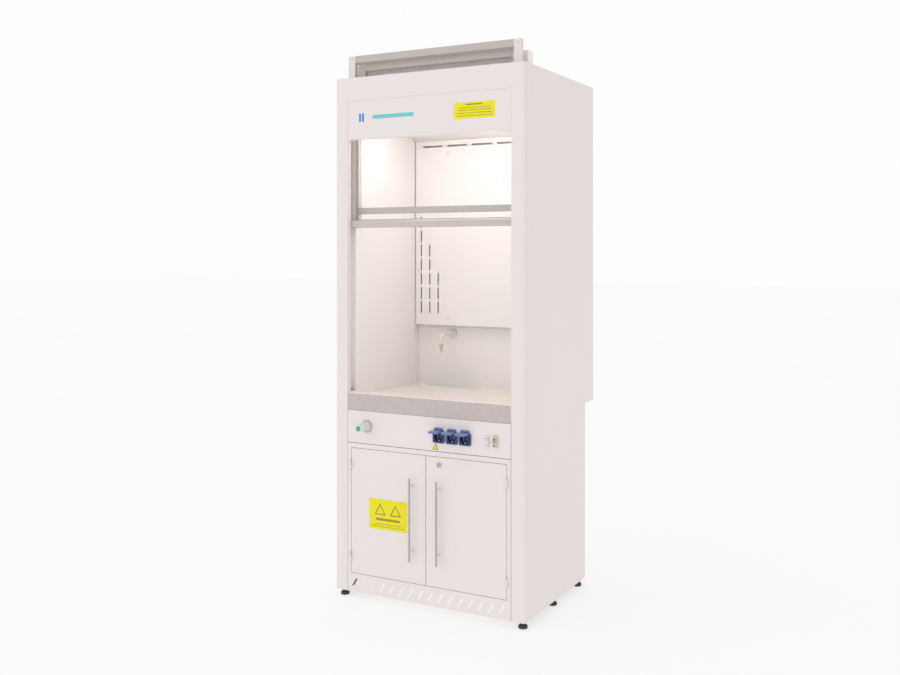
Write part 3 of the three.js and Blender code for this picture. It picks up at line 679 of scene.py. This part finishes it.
def rectangle_ring(low, high, wall):
    """An upright rectangular ring around the box low to high, wall wide inside it."""
    bm = bmesh.new()
    made = bmesh.ops.create_grid(bm, x_segments=1, y_segments=1, size=0.5)["verts"]
    bmesh.ops.rotate(bm, verts=made, cent=(0, 0, 0), matrix=Matrix.Rotation(math.pi / 2, 3, "X"))
    bmesh.ops.scale(bm, verts=made, vec=(high.x - low.x, 1, high.z - low.z))
    bmesh.ops.translate(bm, verts=made, vec=((low.x + high.x) / 2, low.y, (low.z + high.z) / 2))
    hollow_out(bm, wall, high.y - low.y)
    return bm


def glaze_leaf(frame_node, glass_node, rolled_width, rail, stile):
    glass_low, glass_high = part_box(glass_node)
    cuts = [((x, 0, 0), (1, 0, 0)) for x in (glass_low.x, glass_high.x)]
    leaf = rolled(frame_node, rail, rolled_width, 2, cuts)
    # The stiles take the lighter copy of the aluminium: painted light.
    recolour(leaf, stile, lambda face: not glass_low.x < face.center.x < glass_high.x)
    rolled(glass_node, glass, 0.0003, 1)
    bead = 0.004
    gap = 0.0006
    low = Vector((glass_low.x, glass_low.y - bead * 0.6, glass_low.z))
    high = Vector((glass_high.x, glass_low.y - gap * 0.2, glass_high.z))
    for name, shift in (("front", 0.0), ("back", glass_high.y - low.y + gap * 0.2)):
        ring = rectangle_ring(low, high, bead)
        bmesh.ops.translate(ring, verts=ring.verts, vec=(0, shift, 0))
        roll_edges(ring, 0.0007, 2)
        piece(ring, f"{glass_node}_bead_{name}", grey_seal, body_of(frame_node))


glaze_leaf("sash_frame", "sash_glass", 0.0010, aluminium, stile_aluminium_painted_light)
glaze_leaf("upper_sash_frame", "upper_sash_glass", 0.0012, rear_rail_painted_light, rear_stile_painted_light)

# %% [markdown]
# The grip is an extruded bull-nosed bar. On the real one two shallow grooves run along it,
# so the fingers find it without looking. Grooves are cut into the profile first, then the
# profile is swept sideways, which is exactly how an extrusion press works.

# %% Extrude the grip
def grip():
    low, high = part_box("sash_handle")
    nose = 0.0085
    groove = 0.0012
    inset = 0.0125   # from an edge of the bar to a groove
    outline = []

    def rounded_corner(start, z):
        for step in range(9):
            angle = math.radians(start + step * 90 / 8)
            y = low.y + nose + nose * math.cos(angle)
            outline.append((y, z + nose * math.sin(angle)))

    rounded_corner(90, high.z - nose)
    for height in (high.z - inset, low.z + inset):
        for rise, depth in ((0.0012, 0), (0.0008, groove), (-0.0008, groove), (-0.0012, 0)):
            outline.append((low.y + depth, height + rise))
    rounded_corner(180, low.z + nose)
    outline += [(high.y, low.z), (high.y, high.z)]
    bm = bmesh.new()
    face = bm.faces.new([bm.verts.new((low.x, y, z)) for y, z in outline])
    far = bmesh.ops.extrude_face_region(bm, geom=[face])["geom"]
    verts = [item for item in far if isinstance(item, bmesh.types.BMVert)]
    bmesh.ops.translate(bm, verts=verts, vec=(high.x - low.x, 0, 0))
    bmesh.ops.recalc_face_normals(bm, faces=bm.faces)
    piece(bm, "sash_grip", grip_silver, "front_sash", ["sash_handle"])


grip()
for side in ("left", "right"):
    rolled(f"sash_guide_{side}", casing_paint_painted_light, 0.0003)
    rolled(f"counterweight_{side}", iron, 0.0015, 3)
    rolled(f"pulley_{side}", white_plastic, 0.0005)

# %% [markdown]
# ## Screws
#
# The same raised-head screw holds the profiles, the roof and the back. It is turned once as
# a dome with a cross recess pressed in, and copied wherever a screw is due. A few dozen faces
# are enough for something 8 mm across.

# %% Make and place screws
def screw(bm, place, axis, radius=0.004, steps=14):
    """Adds a domed screw head at place, standing out along axis."""
    rise = radius * 0.5
    head = turn([(0, rise), (radius * 0.3, rise * 0.97), (radius * 0.7, rise * 0.78),
                 (radius * 0.95, rise * 0.3), (radius, 0), (0, 0)], (0, 0, 0), "z", steps)
    for angle in (0, math.pi / 2):
        arm = (radius * 0.55, radius * 0.09, rise * 0.12)
        slot = bmesh.ops.create_cube(head, size=2.0)["verts"]
        bmesh.ops.scale(head, verts=slot, vec=arm)
        bmesh.ops.rotate(head, verts=slot, cent=(0, 0, 0), matrix=Matrix.Rotation(angle, 3, "Z"))
        bmesh.ops.translate(head, verts=slot, vec=(0, 0, rise * 0.9))
    to_axis = Vector(axis).to_track_quat("Z", "Y").to_matrix().to_4x4()
    bmesh.ops.transform(head, verts=head.verts, matrix=Matrix.Translation(place) @ to_axis)
    merge(head, bm)


def screws(name, places, axis, body, radius=0.004, finish=screw_steel):
    bm = bmesh.new()
    for place in places:
        screw(bm, place, axis, radius)
    piece(bm, name, finish, body)


def face_corners(node, inset_x, inset_z):
    """Four points near the corners of a node's front face."""
    low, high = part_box(node)
    return [(x, low.y, z) for x in (low.x + inset_x, high.x - inset_x)
            for z in (low.z + inset_z, high.z - inset_z)]


FORWARD, BACKWARD, UPWARD = (0, -1, 0), (0, 1, 0), (0, 0, 1)
screws("sash_screws", face_corners("sash_frame", 0.017, 0.012), FORWARD,
       "front_sash", 0.0035)
screws("upper_sash_screws", face_corners("upper_sash_frame", 0.0175, 0.025), FORWARD,
       "upper_sash")

SHEET = 0.0015
EDGE = 0.012    # from a sheet's edge to its screws
END = 0.030     # from a sheet's end to its first screw
CASING_SCREW = 0.005
rear_low, rear_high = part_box("rear_panel")
step_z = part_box("side_panel_left")[0].z + 0.784
for name, y, bottom, top, count in (
    ("rear_screws", rear_high.y, step_z, rear_high.z, 7),
    ("lower_rear_screws", rear_low.y + SHEET, rear_low.z, step_z, 4),
):
    pitch = (top - bottom - 2 * END) / (count - 1)
    places = [(x, y, bottom + END + i * pitch) for x in (rear_low.x + EDGE, rear_high.x - EDGE)
              for i in range(count)]
    screws(name, places, BACKWARD, "cabinet", CASING_SCREW)

roof_low, roof_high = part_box("roof_panel")
places = [(x, y, roof_high.z) for x in (roof_low.x + EDGE, roof_high.x - EDGE)
          for y in (roof_low.y + 0.15, 0.0, 0.19, roof_high.y - 0.02)]
screws("roof_screws", places, UPWARD, "cabinet", CASING_SCREW)

baffle_low, baffle_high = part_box("baffle")
studs = [(x, baffle_low.y, z) for x in (-0.21, 0.21)
         for z in (baffle_low.z + 0.037, baffle_low.z + 0.817)]
screws("baffle_screws", studs, FORWARD, "cabinet", 0.0065, white_plastic)
print("screws placed on the sash, back, roof and baffle")

# %% [markdown]
# ## Cupboard hardware
#
# Bow handles of satin steel bar, a cam lock and four lift-off hinges. The bar is turned with
# domed ends; its posts flare where they meet the door, like the washers under real ones.

# %% Handles and lock
for side in ("left", "right"):
    low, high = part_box(f"handle_{side}")
    radius = (high.x - low.x) / 2
    centre = ((low.x + high.x) / 2, low.y + radius, 0)
    dome = radius * 0.45
    bar = turn([(0, low.z), (radius * 0.7, low.z + dome * 0.3), (radius, low.z + dome),
                (radius, high.z - dome), (radius * 0.7, high.z - dome * 0.3), (0, high.z)],
               centre, "z", 32)
    piece(bar, f"bow_handle_{side}", satin_steel, f"{side}_door",
          [f"handle_{side}"])
    posts = bmesh.new()
    for z in (low.z + 0.045, high.z - 0.033):
        post = 0.0034
        turn([(0, centre[1]), (post, centre[1]), (post, high.y - 0.004),
              (post * 1.35, high.y - 0.0012), (post * 1.35, high.y), (0, high.y)],
             (centre[0], 0, z), "y", 24, posts)
    piece(posts, f"handle_posts_{side}", post_steel, f"{side}_door")

lock_low, lock_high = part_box("lock_barrel")
lock_radius = (lock_high.z - lock_low.z) / 2
face_y = lock_low.y
lock_at = (lock_low.x + lock_radius, face_y, (lock_low.z + lock_high.z) / 2)
cam_y = lock_high.y - 0.0025
shank = lock_radius * 0.8
barrel = turn([(0, 0.0012), (lock_radius * 0.55, 0.0012), (lock_radius * 0.62, 0),
               (lock_radius * 0.9, 0), (lock_radius, 0.001), (lock_radius, 0.003),
               (shank, 0.003), (shank, cam_y - face_y), (0, cam_y - face_y)], lock_at, "y", 36)
cam_half = 0.008
block((lock_at[0] - cam_half, cam_y, lock_at[2] - cam_half),
      (lock_high.x, lock_high.y, lock_at[2] + cam_half), barrel, 0.0008)
piece(barrel, "cam_lock", screw_steel, "door_lock", ["lock_barrel"])
# The keyway is a black bar: painted shade in the slot.
keyway_painted_shade = block((lock_at[0] - 0.0009, face_y + 0.0004, lock_at[2] - 0.0042),
                 (lock_at[0] + 0.0009, face_y + 0.0016, lock_at[2] + 0.0042), None, 0.0003)
piece(keyway_painted_shade, "keyway_painted_shade", black_print_and_shade_plastic, "door_lock")
print("lock at x =", round(lock_at[0], 3), "z =", round(lock_at[2], 3))

# %% [markdown]
# The hinge pins are part of the casing's joints: a turned pin with a small button head stands
# out above and below each pair of knuckles.

# %% Hinge pins and leaf screws
hinges = [joint for joint in frame["joints"] if joint["name"].startswith("door_")]
base_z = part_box("side_panel_left")[0].z
for joint in hinges:
    side = "left" if "left" in joint["name"] else "right"
    x, y, _ = joint["pos_m"]
    pins = bmesh.new()
    for centre_z in (base_z + 0.150, base_z + 0.545):
        for end in (-1, 1):
            profile = [(0, 0), (0.0022, 0.0004), (0.003, 0.0012), (0.003, 0.0022), (0, 0.0025)]
            turn([(radius, -end * along) for radius, along in profile],
                 (x, y, centre_z + end * 0.0205), "z", 16, pins)
    piece(pins, f"hinge_pins_{side}", screw_steel, "cabinet")
print("hinge axes:", [joint["name"] for joint in hinges])

# %% [markdown]
# ## Water: valve, tap, sink
#
# The remote valve has a fluted knob with a coloured cap: flutes are made by insetting every
# third side face of a many-sided cylinder and pushing it inwards. Teal marks cold water.

# %% Fluted valve knob
def fluted_knob():
    low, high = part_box("valve_knob")
    x, z = (low.x + high.x) / 2, (low.z + high.z) / 2
    radius = (high.x - low.x) / 2
    front = low.y + 0.002
    bm = bmesh.new()
    length = 0.020
    sides = 36
    turn_out = Matrix.Rotation(math.pi / 2, 4, "X")
    bmesh.ops.create_cone(
        bm, cap_ends=True, segments=sides, radius1=radius, radius2=radius * 0.93, depth=length,
        matrix=Matrix.Translation((x, front + length / 2, z)) @ turn_out,
    )
    walls = [face for face in bm.faces if len(face.verts) == 4]
    walls.sort(key=lambda face: math.atan2(face.calc_center_median().z - z,
                                           face.calc_center_median().x - x))
    bmesh.ops.inset_individual(bm, faces=walls[::3], thickness=0.0006, depth=-0.0009)
    roll_edges(bm, 0.0005, 2, 25)
    piece(bm, "knob_grip", white_plastic, "water_knob", ["valve_knob"])
    end = high.y - front
    neck = turn([(0, length - 0.001), (radius * 0.94, length - 0.001),
                 (radius * 0.90, length + 0.004), (radius * 0.82, length + 0.008),
                 (radius * 0.81, end), (0, end)], (x, front, z), "y", 36)
    piece(neck, "knob_neck", white_plastic, "water_knob")
    cap = turn([(0, -0.0016), (radius * 0.40, -0.0015), (radius * 0.60, -0.0009),
                (radius * 0.66, 0.0003), (radius * 0.66, 0.002), (0, 0.002)],
               (x, front, z), "y", 40)
    piece(cap, "knob_cap", teal_plastic, "water_knob")


fluted_knob()
plate_low, plate_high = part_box("valve_escutcheon")
plate_r = (plate_high.x - plate_low.x) / 2
plate_at = (middle("valve_escutcheon").x, plate_low.y, middle("valve_escutcheon").z)
depth = plate_high.y - plate_low.y
ring = turn([(0, 0), (plate_r * 0.70, 0), (plate_r * 0.74, 0.0006), (plate_r * 0.80, 0.0006),
             (plate_r * 0.88, 0.0002), (plate_r * 0.97, 0.002), (plate_r, 0.004),
             (plate_r * 0.96, 0.0057), (plate_r * 0.48, 0.0057), (plate_r * 0.48, depth),
             (0, depth)], plate_at, "y", 48)
piece(ring, "valve_rosette", rosette_plastic, "cabinet", ["valve_escutcheon"])
seat_r = plate_r * 0.66
seat = turn([(0, -0.0002), (seat_r, -0.0002), (seat_r, 0.0004), (0, 0.0004)], plate_at, "y", 48)
piece(seat, "valve_seat", white_plastic, "cabinet")

# %% [markdown]
# The tap is chemical-resistant: a coated steel tube with a screwed flange on the lining and a
# serrated polymer hose nozzle pointing down into the cup sink.

# %% Tap, sink and pipework
tap_x = middle("tap_body").x
lining_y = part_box("back_wall")[0].y
tap_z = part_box("tap_body")[1].z - 0.021
spout_r = 0.0078
front_y = lining_y - 0.115
tip_z = tap_z - 0.048
spout = pipe([(tap_x, lining_y - 0.010, tap_z), (tap_x, front_y, tap_z), (tap_x, front_y, tip_z)],
             spout_r, 0.024, 28)
tap_at = (tap_x, lining_y, tap_z)
turn([(0, -0.034), (0.0115, -0.034), (0.0122, -0.033), (0.0130, -0.013), (0.0180, -0.0105),
      (0.0205, -0.008), (0.0210, -0.0003), (0, -0.0003)], tap_at, "y", 40, spout)
turn([(0, -0.004), (0.010, -0.004), (0.010, 0.034), (0, 0.034)], tap_at, "y", 24, spout)
piece(spout, "tap_spout", white_plastic, "cabinet", ["tap_body"])
barbs = [(0, 0.006), (0.0108, 0.006), (0.0110, -0.001), (0.0085, -0.004)]
for i in range(4):
    top = -0.006 * (i + 1)
    wide = 0.0078 - i * 0.0009
    barbs += [(wide - 0.0016, top), (wide, top - 0.0012), (wide - 0.0016, top - 0.0052)]
barbs += [(0.0035, -0.0318), (0, -0.032)]
nozzle = turn(barbs, (tap_x, front_y, tip_z), "z", 32)
piece(nozzle, "hose_nozzle", nozzle_plastic, "cabinet")

rolled("cup_sink", sink_plastic, 0.0012, 3)
rolled("sink_trap", white_plastic, 0.0010)
rolled("water_pipe", satin_steel, 0.0002)
drain = middle("cup_sink").xy
bowl_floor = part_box("cup_sink")[1].z - 0.129
strainer = bmesh.new()
turn([(0.0055, 0.0022), (0.019, 0.0022), (0.021, 0.0008), (0.021, 0.0002), (0.0055, 0.0002),
      (0.0055, 0.0022)], (*drain, bowl_floor), "z", 40, strainer)
for i in range(6):
    angle = i * math.pi / 3
    spot = (drain[0] + 0.0028 * math.cos(angle), drain[1] + 0.0028 * math.sin(angle), bowl_floor)
    turn([(0, 0.0021), (0.0009, 0.0021), (0.0009, 0.0004), (0, 0.0004)], spot, "z", 8, strainer)
piece(strainer, "sink_strainer", screw_steel, "cabinet")
print("tap nozzle tip at z =", round(tip_z - 0.032, 3))

# %% [markdown]
# ## The service panel
#
# Three flanged sockets with hinged lids, a rocker switch and a breaker sit in the panel. The
# packed sockets already have the round recess and the pin holes, so they only need moulded
# edges and what shows inside: sprung earth clips, a centre screw and two keying ribs.

# %% Sockets
def socket_details(index):
    node, lid_node = f"socket_{index}", f"socket_lid_{index}"
    x = middle(node).x
    z = SOCKET_Z
    body = rolled(node, blue_plastic, 0.0010, 3)
    # The recess faces take a darker navy: painted shade inside the recess.
    recolour(body, recess_painted_shade,
             lambda face: math.hypot(face.center.x - x, face.center.z - z) < RECESS_RADIUS)
    # Faces above the flange take the lighter lid blue: painted light on the top, where the light falls.
    recolour(body, lid_and_lit_top_plastic, lambda face: face.center.z > z + FLANGE_UP)
    floor_y = FLANGE_FRONT + RECESS_DEPTH
    clips = bmesh.new()
    for sign in (1, -1):
        for near, far, front, back, width in ((0.0164, 0.0182, 0.002, RECESS_DEPTH + 0.001, 0.0004),
                                              (0.0130, 0.0166, 0.006, 0.0072, 0.0003)):
            bottom, top = sorted((z + sign * near, z + sign * far))
            block((x - 0.0026, FLANGE_FRONT + front, bottom),
                  (x + 0.0026, FLANGE_FRONT + back, top), clips, width)
    piece(clips, f"{node}_earth_clips", screw_steel, "cabinet")
    screws(f"{node}_centre_screw", [(x, floor_y, z)], FORWARD, "cabinet", 0.0026)
    # The ribs are pale blue: painted highlight lines in the dark recess.
    ribs = bmesh.new()
    for rib_x in (x - 0.0125, x + 0.0125):
        block((rib_x - 0.0008, floor_y - 0.0030, z - 0.0115),
              (rib_x + 0.0008, floor_y + 0.0004, z + 0.0115), ribs, 0.0002)
    piece(ribs, f"{node}_keying_ribs", rib_painted_highlight, "cabinet")
    fixings = [(x + dx, FLANGE_FRONT, z + dz) for dx in (-0.0250, 0.0250)
               for dz in (-0.0205, 0.0195)]
    screws(f"{node}_fixings", fixings, FORWARD, "cabinet", 0.0015)

    rolled(lid_node, lid_and_lit_top_plastic, 0.0011, 3)
    lid_low, lid_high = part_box(lid_node)
    joint = next(j for j in frame["joints"] if j["name"] == f"{lid_node}_hinge")
    _, pivot_y, pivot_z = joint["pos_m"]
    pin = bmesh.new()
    for end in (-1, 1):
        turn([(0, end * 0.0095), (0.0012, end * 0.0095), (0.0012, end * 0.0200),
              (0, end * 0.0205)], (x, pivot_y, pivot_z), "x", 12, pin)
    piece(pin, f"{lid_node}_pin", screw_steel, f"lid_{index}")
    seal = turn([(0.0170, 0), (0.0170, -0.0016), (0.0184, -0.0022), (0.0195, -0.0016),
                 (0.0195, 0), (0.0170, 0)], (x, lid_low.y + 0.0225, lid_high.z - 0.0026), "z", 40)
    piece(seal, f"{lid_node}_seal", grey_seal, f"lid_{index}")
    lip = block((x - 0.008, lid_low.y - 0.0016, lid_high.z - 0.0034),
                (x + 0.008, lid_low.y + 0.002, lid_high.z - 0.0014), None, 0.0008, 3)
    piece(lip, f"{lid_node}_lip", lid_and_lit_top_plastic, f"lid_{index}")


panel_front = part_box("control_panel")[0].y
FLANGE_FRONT = panel_front - 0.006
RECESS_DEPTH = 0.018
RECESS_RADIUS = 0.0198
FLANGE_UP = 0.0250
SOCKET_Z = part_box("switch_plate")[0].z + 0.0245
for number in (1, 2, 3):
    socket_details(number)
print("sockets centred at z =", round(SOCKET_Z, 3))

# %% [markdown]
# The switch and the breaker are both 18 mm wide modules. The breaker carries small printed
# colour fields on the real one: a pale head, an olive test button and a yellow foot.

# %% Switch and breaker
rolled("switch_plate", white_plastic, 0.0007, 3)
rolled("switch_rocker", white_plastic, 0.0007, 3)
rocker_low, rocker_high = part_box("switch_rocker")
rocker_x = middle("switch_rocker").x
dash = block((rocker_x - 0.0004, rocker_low.y - 0.0001, rocker_high.z - 0.0085),
             (rocker_x + 0.0004, rocker_low.y + 0.0022, rocker_high.z - 0.0050), None, 0.0002)
piece(dash, "rocker_mark", black_print_and_shade_plastic, "rocker")

YELLOW_TOP = SOCKET_Z - 0.0120
breaker = rolled("breaker_body", breaker_plastic, 0.0004, 2, [((0, 0, YELLOW_TOP), (0, 0, 1))])
recolour(breaker, pale_yellow,
         lambda face: face.center.z < YELLOW_TOP and face.center.y < panel_front)
rolled("breaker_lever", lever_plastic, 0.0005, 2)
rolled("test_button", olive_plastic, 0.0005, 3)
breaker_low, breaker_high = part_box("breaker_body")
breaker_face = panel_front - 0.013
field_x = (breaker_low.x + 0.0015, breaker_high.x - 0.0015)
strip = block((field_x[0], breaker_face - 0.0003, SOCKET_Z + 0.0180),
              (field_x[1], breaker_face + 0.0005, SOCKET_Z + 0.0205), None, 0.0002)
piece(strip, "breaker_head_field", white_plastic, "cabinet")
print("breaker stands", round((panel_front - breaker_low.y) * 1000, 1), "mm proud")

# %% [markdown]
# ## Signs
#
# The real cabinet carries a maker's sign and notices. Here they are plain plates of the same
# size and colour without any lettering: rows of thin bars where text would be, and empty
# triangles where pictograms would be. A triangle is a three-sided ring, inset and thickened.

# %% Signs without lettering
PLATE = 0.0005
FACE_FRONT = Matrix.Rotation(math.pi / 2, 4, "X")   # lays a flat shape on an upright face


def plate(name, x, y, z, finish, body):
    """A thin plate on a front face at y: x and z are (low, high)."""
    sheet = block((x[0], y - PLATE, z[0]), (x[1], y + 0.0002, z[1]), None, PLATE * 0.4, 1)
    piece(sheet, name, finish, body)


def bars(name, rows, y, finish, body, height=0.0022):
    """Thin raised bars: rows of (x low, x high, z)."""
    bm = bmesh.new()
    for x0, x1, z in rows:
        bottom, top = z - height / 2, z + height / 2
        block((x0, y - PLATE - 0.0002, bottom), (x1, y - PLATE + 0.0001, top), bm)
    piece(bm, name, finish, body)


def triangle(bm, x, y, z, size, line):
    """The outline of an upright triangle, as a ring standing on a face at y."""
    fresh = bmesh.new()
    bmesh.ops.create_circle(
        fresh, cap_ends=True, radius=size, segments=3,
        matrix=Matrix.Translation((x, y - PLATE + 0.0001, z)) @ FACE_FRONT,
    )
    hollow_out(fresh, line, -0.0003)
    merge(fresh, bm)


sign_yellow = moulded("sign_yellow", (0.88, 0.78, 0.0), 0.45, 0.02)
sign_olive = moulded("sign_olive", (0.33, 0.29, 0.03), 0.5, 0.02)
sign_blue = moulded("sign_blue", (0.03, 0.26, 0.62), 0.4, 0.02)
sign_teal = moulded("sign_teal", (0.16, 0.62, 0.62), 0.4, 0.02)

door_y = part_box("side_panel_left")[0].y - 0.0143 + 0.0003
plate("door_sign", (-0.279, -0.090), door_y, (base_z + 0.285, base_z + 0.413), sign_yellow,
      "left_door")
rows = [(-0.243, -0.126, base_z + 0.3275), (-0.250, -0.118, base_z + 0.3080),
        (-0.268, -0.100, base_z + 0.2975)]
bars("door_sign_rows", rows[:1], door_y, sign_olive, "left_door", 0.0100)
bars("door_sign_small_rows", rows[1:], door_y, sign_olive, "left_door", 0.0022)
outlines = bmesh.new()
for x in (-0.223, -0.147):
    triangle(outlines, x, door_y, base_z + 0.3625, 0.0320, 0.0045)
piece(outlines, "door_sign_triangles", sign_olive, "left_door")

header_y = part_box("header_panel")[0].y
plate("header_sign", (0.1305, 0.3185), header_y, (base_z + 2.000, base_z + 2.066), sign_yellow,
      "cabinet")
bars("header_sign_title", [(0.186, 0.262, base_z + 2.0570)], header_y, sign_olive, "cabinet",
     0.0052)
rows = [(0.157, 0.296, base_z + 2.0440), (0.150, 0.300, base_z + 2.0345),
        (0.144, 0.306, base_z + 2.0225), (0.147, 0.309, base_z + 2.0115)]
bars("header_sign_rows", rows, header_y, sign_olive, "cabinet", 0.0022)

mark = bmesh.new()
for x in (-0.331, -0.316):
    block((x, header_y - PLATE, base_z + 2.0175), (x + 0.010, header_y + 0.0002, base_z + 2.0530),
          mark, 0.0002, 1)
piece(mark, "maker_mark_dark", sign_blue, "cabinet")
plate("maker_mark_bar", (-0.262, -0.060), header_y, (base_z + 2.0270, base_z + 2.0430), sign_teal,
      "cabinet")

warning = bmesh.new()
WARNING_AT = (0.0466, panel_front, base_z + 0.6560)
triangle(warning, *WARNING_AT, 0.0168, 0.0024)
piece(warning, "panel_triangle_edge", sign_olive, "cabinet")
inside = bmesh.new()
bmesh.ops.create_cone(
    inside, cap_ends=True, segments=3, radius1=0.0118, radius2=0.0118, depth=0.0006,
    matrix=Matrix.Translation(WARNING_AT) @ FACE_FRONT,
)
piece(inside, "panel_triangle", sign_yellow, "cabinet")
print("signs placed; header face at y =", round(header_y, 4))

# %% [markdown]
# ## Lamp, duct and feet
#
# The tube behind the ceiling window is lit: that is why the lining looks whiter than the
# outside. The duct collar gets a rolled bead that stops the duct sliding off. Feet have a
# rubber pad, a zinc stem and a hexagonal lock nut: a hexagon is a six-sided cone primitive.

# %% Lamp and its window
rolled("lamp_window", glass, 0.0003, 1)
rolled("lamp_batten", white_plastic, 0.0006)
tube_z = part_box("lamp_batten")[1].z - 0.0362
tube_y = middle("lamp_batten").y
tube = turn([(0, -0.2995), (0.0070, -0.2995), (0.0083, -0.2985), (0.0083, 0.2985), (0.0070, 0.2995),
             (0, 0.2995)], (0, tube_y, tube_z), "x", 32)
piece(tube, "lamp_tube", tube_light, "cabinet")

lamp_data = bpy.data.lights.new("chamber_lamp", "AREA")
lamp_data.shape = "RECTANGLE"
lamp_data.size = 0.74
lamp_data.size_y = 0.10
lamp_data.energy = 2.05
lamp_data.color = (1.0, 0.95, 0.915)
chamber_lamp = bpy.data.objects.new("chamber_lamp", lamp_data)
chamber_lamp.location = (0, tube_y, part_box("chamber_ceiling")[1].z - 0.012)
scene.collection.objects.link(chamber_lamp)
spot_data = bpy.data.lights.new("chamber_spot", "POINT")
spot_data.energy = 0.35
spot_data.shadow_soft_size = 0.06
spot_data.color = lamp_data.color
chamber_spot = bpy.data.objects.new("chamber_spot", spot_data)
chamber_spot.location = (0.09, baffle_low.y - 0.19, baffle_high.z - 0.13)
scene.collection.objects.link(chamber_spot)
print("lamp tube at z =", round(tube_z, 3))

# %% Duct collar
collar_low, collar_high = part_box("exhaust_collar")
duct_x, duct_y = middle("exhaust_collar").xy
flange_r = (collar_high.x - collar_low.x) / 2
duct_r = flange_r - 0.025
height = collar_high.z - collar_low.z
bead_z = height - 0.022
inner_r = duct_r - SHEET
collar = turn([
    (inner_r, 0), (flange_r, 0), (flange_r, 0.0016), (flange_r - 0.0008, 0.002),
    (duct_r + 0.0025, 0.002), (duct_r + 0.0005, 0.003), (duct_r, 0.005),
    (duct_r, bead_z - 0.006), (duct_r + 0.0012, bead_z - 0.004), (duct_r + 0.0028, bead_z),
    (duct_r + 0.0012, bead_z + 0.004), (duct_r, bead_z + 0.006), (duct_r, height - 0.0006),
    (duct_r - 0.0007, height), (inner_r, height - 0.0006), (inner_r, 0),
], (duct_x, duct_y, collar_low.z), "z", 96)
piece(collar, "duct_collar", paint, "cabinet", ["exhaust_collar"])
ring_r = (flange_r + duct_r) / 2
places = [(duct_x + ring_r * math.cos(a), duct_y + ring_r * math.sin(a), collar_low.z + 0.002)
          for a in (i * math.tau / 8 + 0.2 for i in range(8))]
screws("collar_screws", places, UPWARD, "cabinet", 0.0045)
housing_low, housing_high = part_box("lamp_housing")
places = [(x, middle("lamp_housing").y, housing_high.z)
          for x in (housing_low.x + 0.02, 0.0, housing_high.x - 0.02)]
screws("lamp_housing_screws", places, UPWARD, "cabinet", 0.0045)
gland_at = (housing_high.x - 0.06, housing_high.y, middle("lamp_housing").z)
gland = turn([(0, 0), (0.011, 0), (0.011, 0.005), (0.0095, 0.006), (0.0090, 0.014),
              (0.0070, 0.017), (0.0045, 0.017), (0.0040, 0.015), (0, 0.015)],
             gland_at, "y", 28)
piece(gland, "lamp_cable_gland", grey_plastic, "cabinet")
print("collar radius", round(duct_r, 4))

# %% Base frame and feet
# The base frame's zinc is dark grey: painted shade, for the dark inside of the base seen through the kick slots.
rolled("base_frame", zinc_painted_shade, 0.0005)
PAD = [(0, 0), (0.93, 0), (0.98, 0.0008), (1, 0.0025), (1, 0.0085), (0.95, 0.0105),
       (0.74, 0.0148), (0.50, 0.0170), (0.42, 0.0172), (0, 0.0172)]
STEM_FOOT = 0.0168
TURNS = 6
NUT = {"radius": 0.0105, "depth": 0.0055, "up": 0.0215}
for node in (f"foot_{row}_{side}" for row in ("front", "middle", "rear")
             for side in ("left", "right")):
    low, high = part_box(node)
    x, y = middle(node).xy
    radius = (high.x - low.x) / 2
    pad = turn([(radius * part, along) for part, along in PAD], (x, y, low.z), "z", 36)
    piece(pad, f"{node}_pad", black_rubber, "cabinet", [node])
    pitch = (high.z - low.z - STEM_FOOT) / TURNS
    thread = [(0, 0)]
    for i in range(TURNS):
        thread += [(0.0052, pitch * (i + 0.1)), (0.0060, pitch * (i + 0.5)),
                   (0.0052, pitch * (i + 0.9))]
    thread.append((0, pitch * TURNS))
    stem = turn(thread, (x, y, low.z + STEM_FOOT), "z", 20)
    bmesh.ops.create_cone(stem, cap_ends=True, segments=6, radius1=NUT["radius"],
                          radius2=NUT["radius"], depth=NUT["depth"],
                          matrix=Matrix.Translation((x, y, low.z + NUT["up"])))
    piece(stem, f"{node}_stem", zinc, "cabinet")
foot_low, foot_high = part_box("foot_front_left")
print("six feet, pads", round((foot_high.x - foot_low.x) * 1000), "mm across")

# %% [markdown]
# ## Studio floor
#
# The floor is a plain pale sheet at the level of the feet. It rides on no body, so it is not
# part of the object.

# %% Floor
floor_finish = Finish("studio_floor")
floor_tone = floor_finish.noise(0.6, 1.0)
floor_finish.feed(
    Base_Color=floor_finish.tint(floor_tone, (0.28, 0.28, 0.28), (0.30, 0.30, 0.30)),
    Emission_Color=floor_finish.tint(floor_tone, (0.69, 0.69, 0.69), (0.70, 0.70, 0.70)),
    Emission_Strength=1.0,
    Roughness=0.9,
    Specular_IOR_Level=0.0,
)
floor_bm = bmesh.new()
bmesh.ops.create_grid(floor_bm, x_segments=1, y_segments=1, size=40.0)
bmesh.ops.translate(floor_bm, verts=floor_bm.verts, vec=(0, 0, cad_box[0][2] - 0.0005))
floor_mesh = bpy.data.meshes.new("studio_floor")
floor_bm.to_mesh(floor_mesh)
floor_bm.free()
floor_mesh.materials.append(floor_finish.material)
floor = bpy.data.objects.new("studio_floor", floor_mesh)
scene.collection.objects.link(floor)
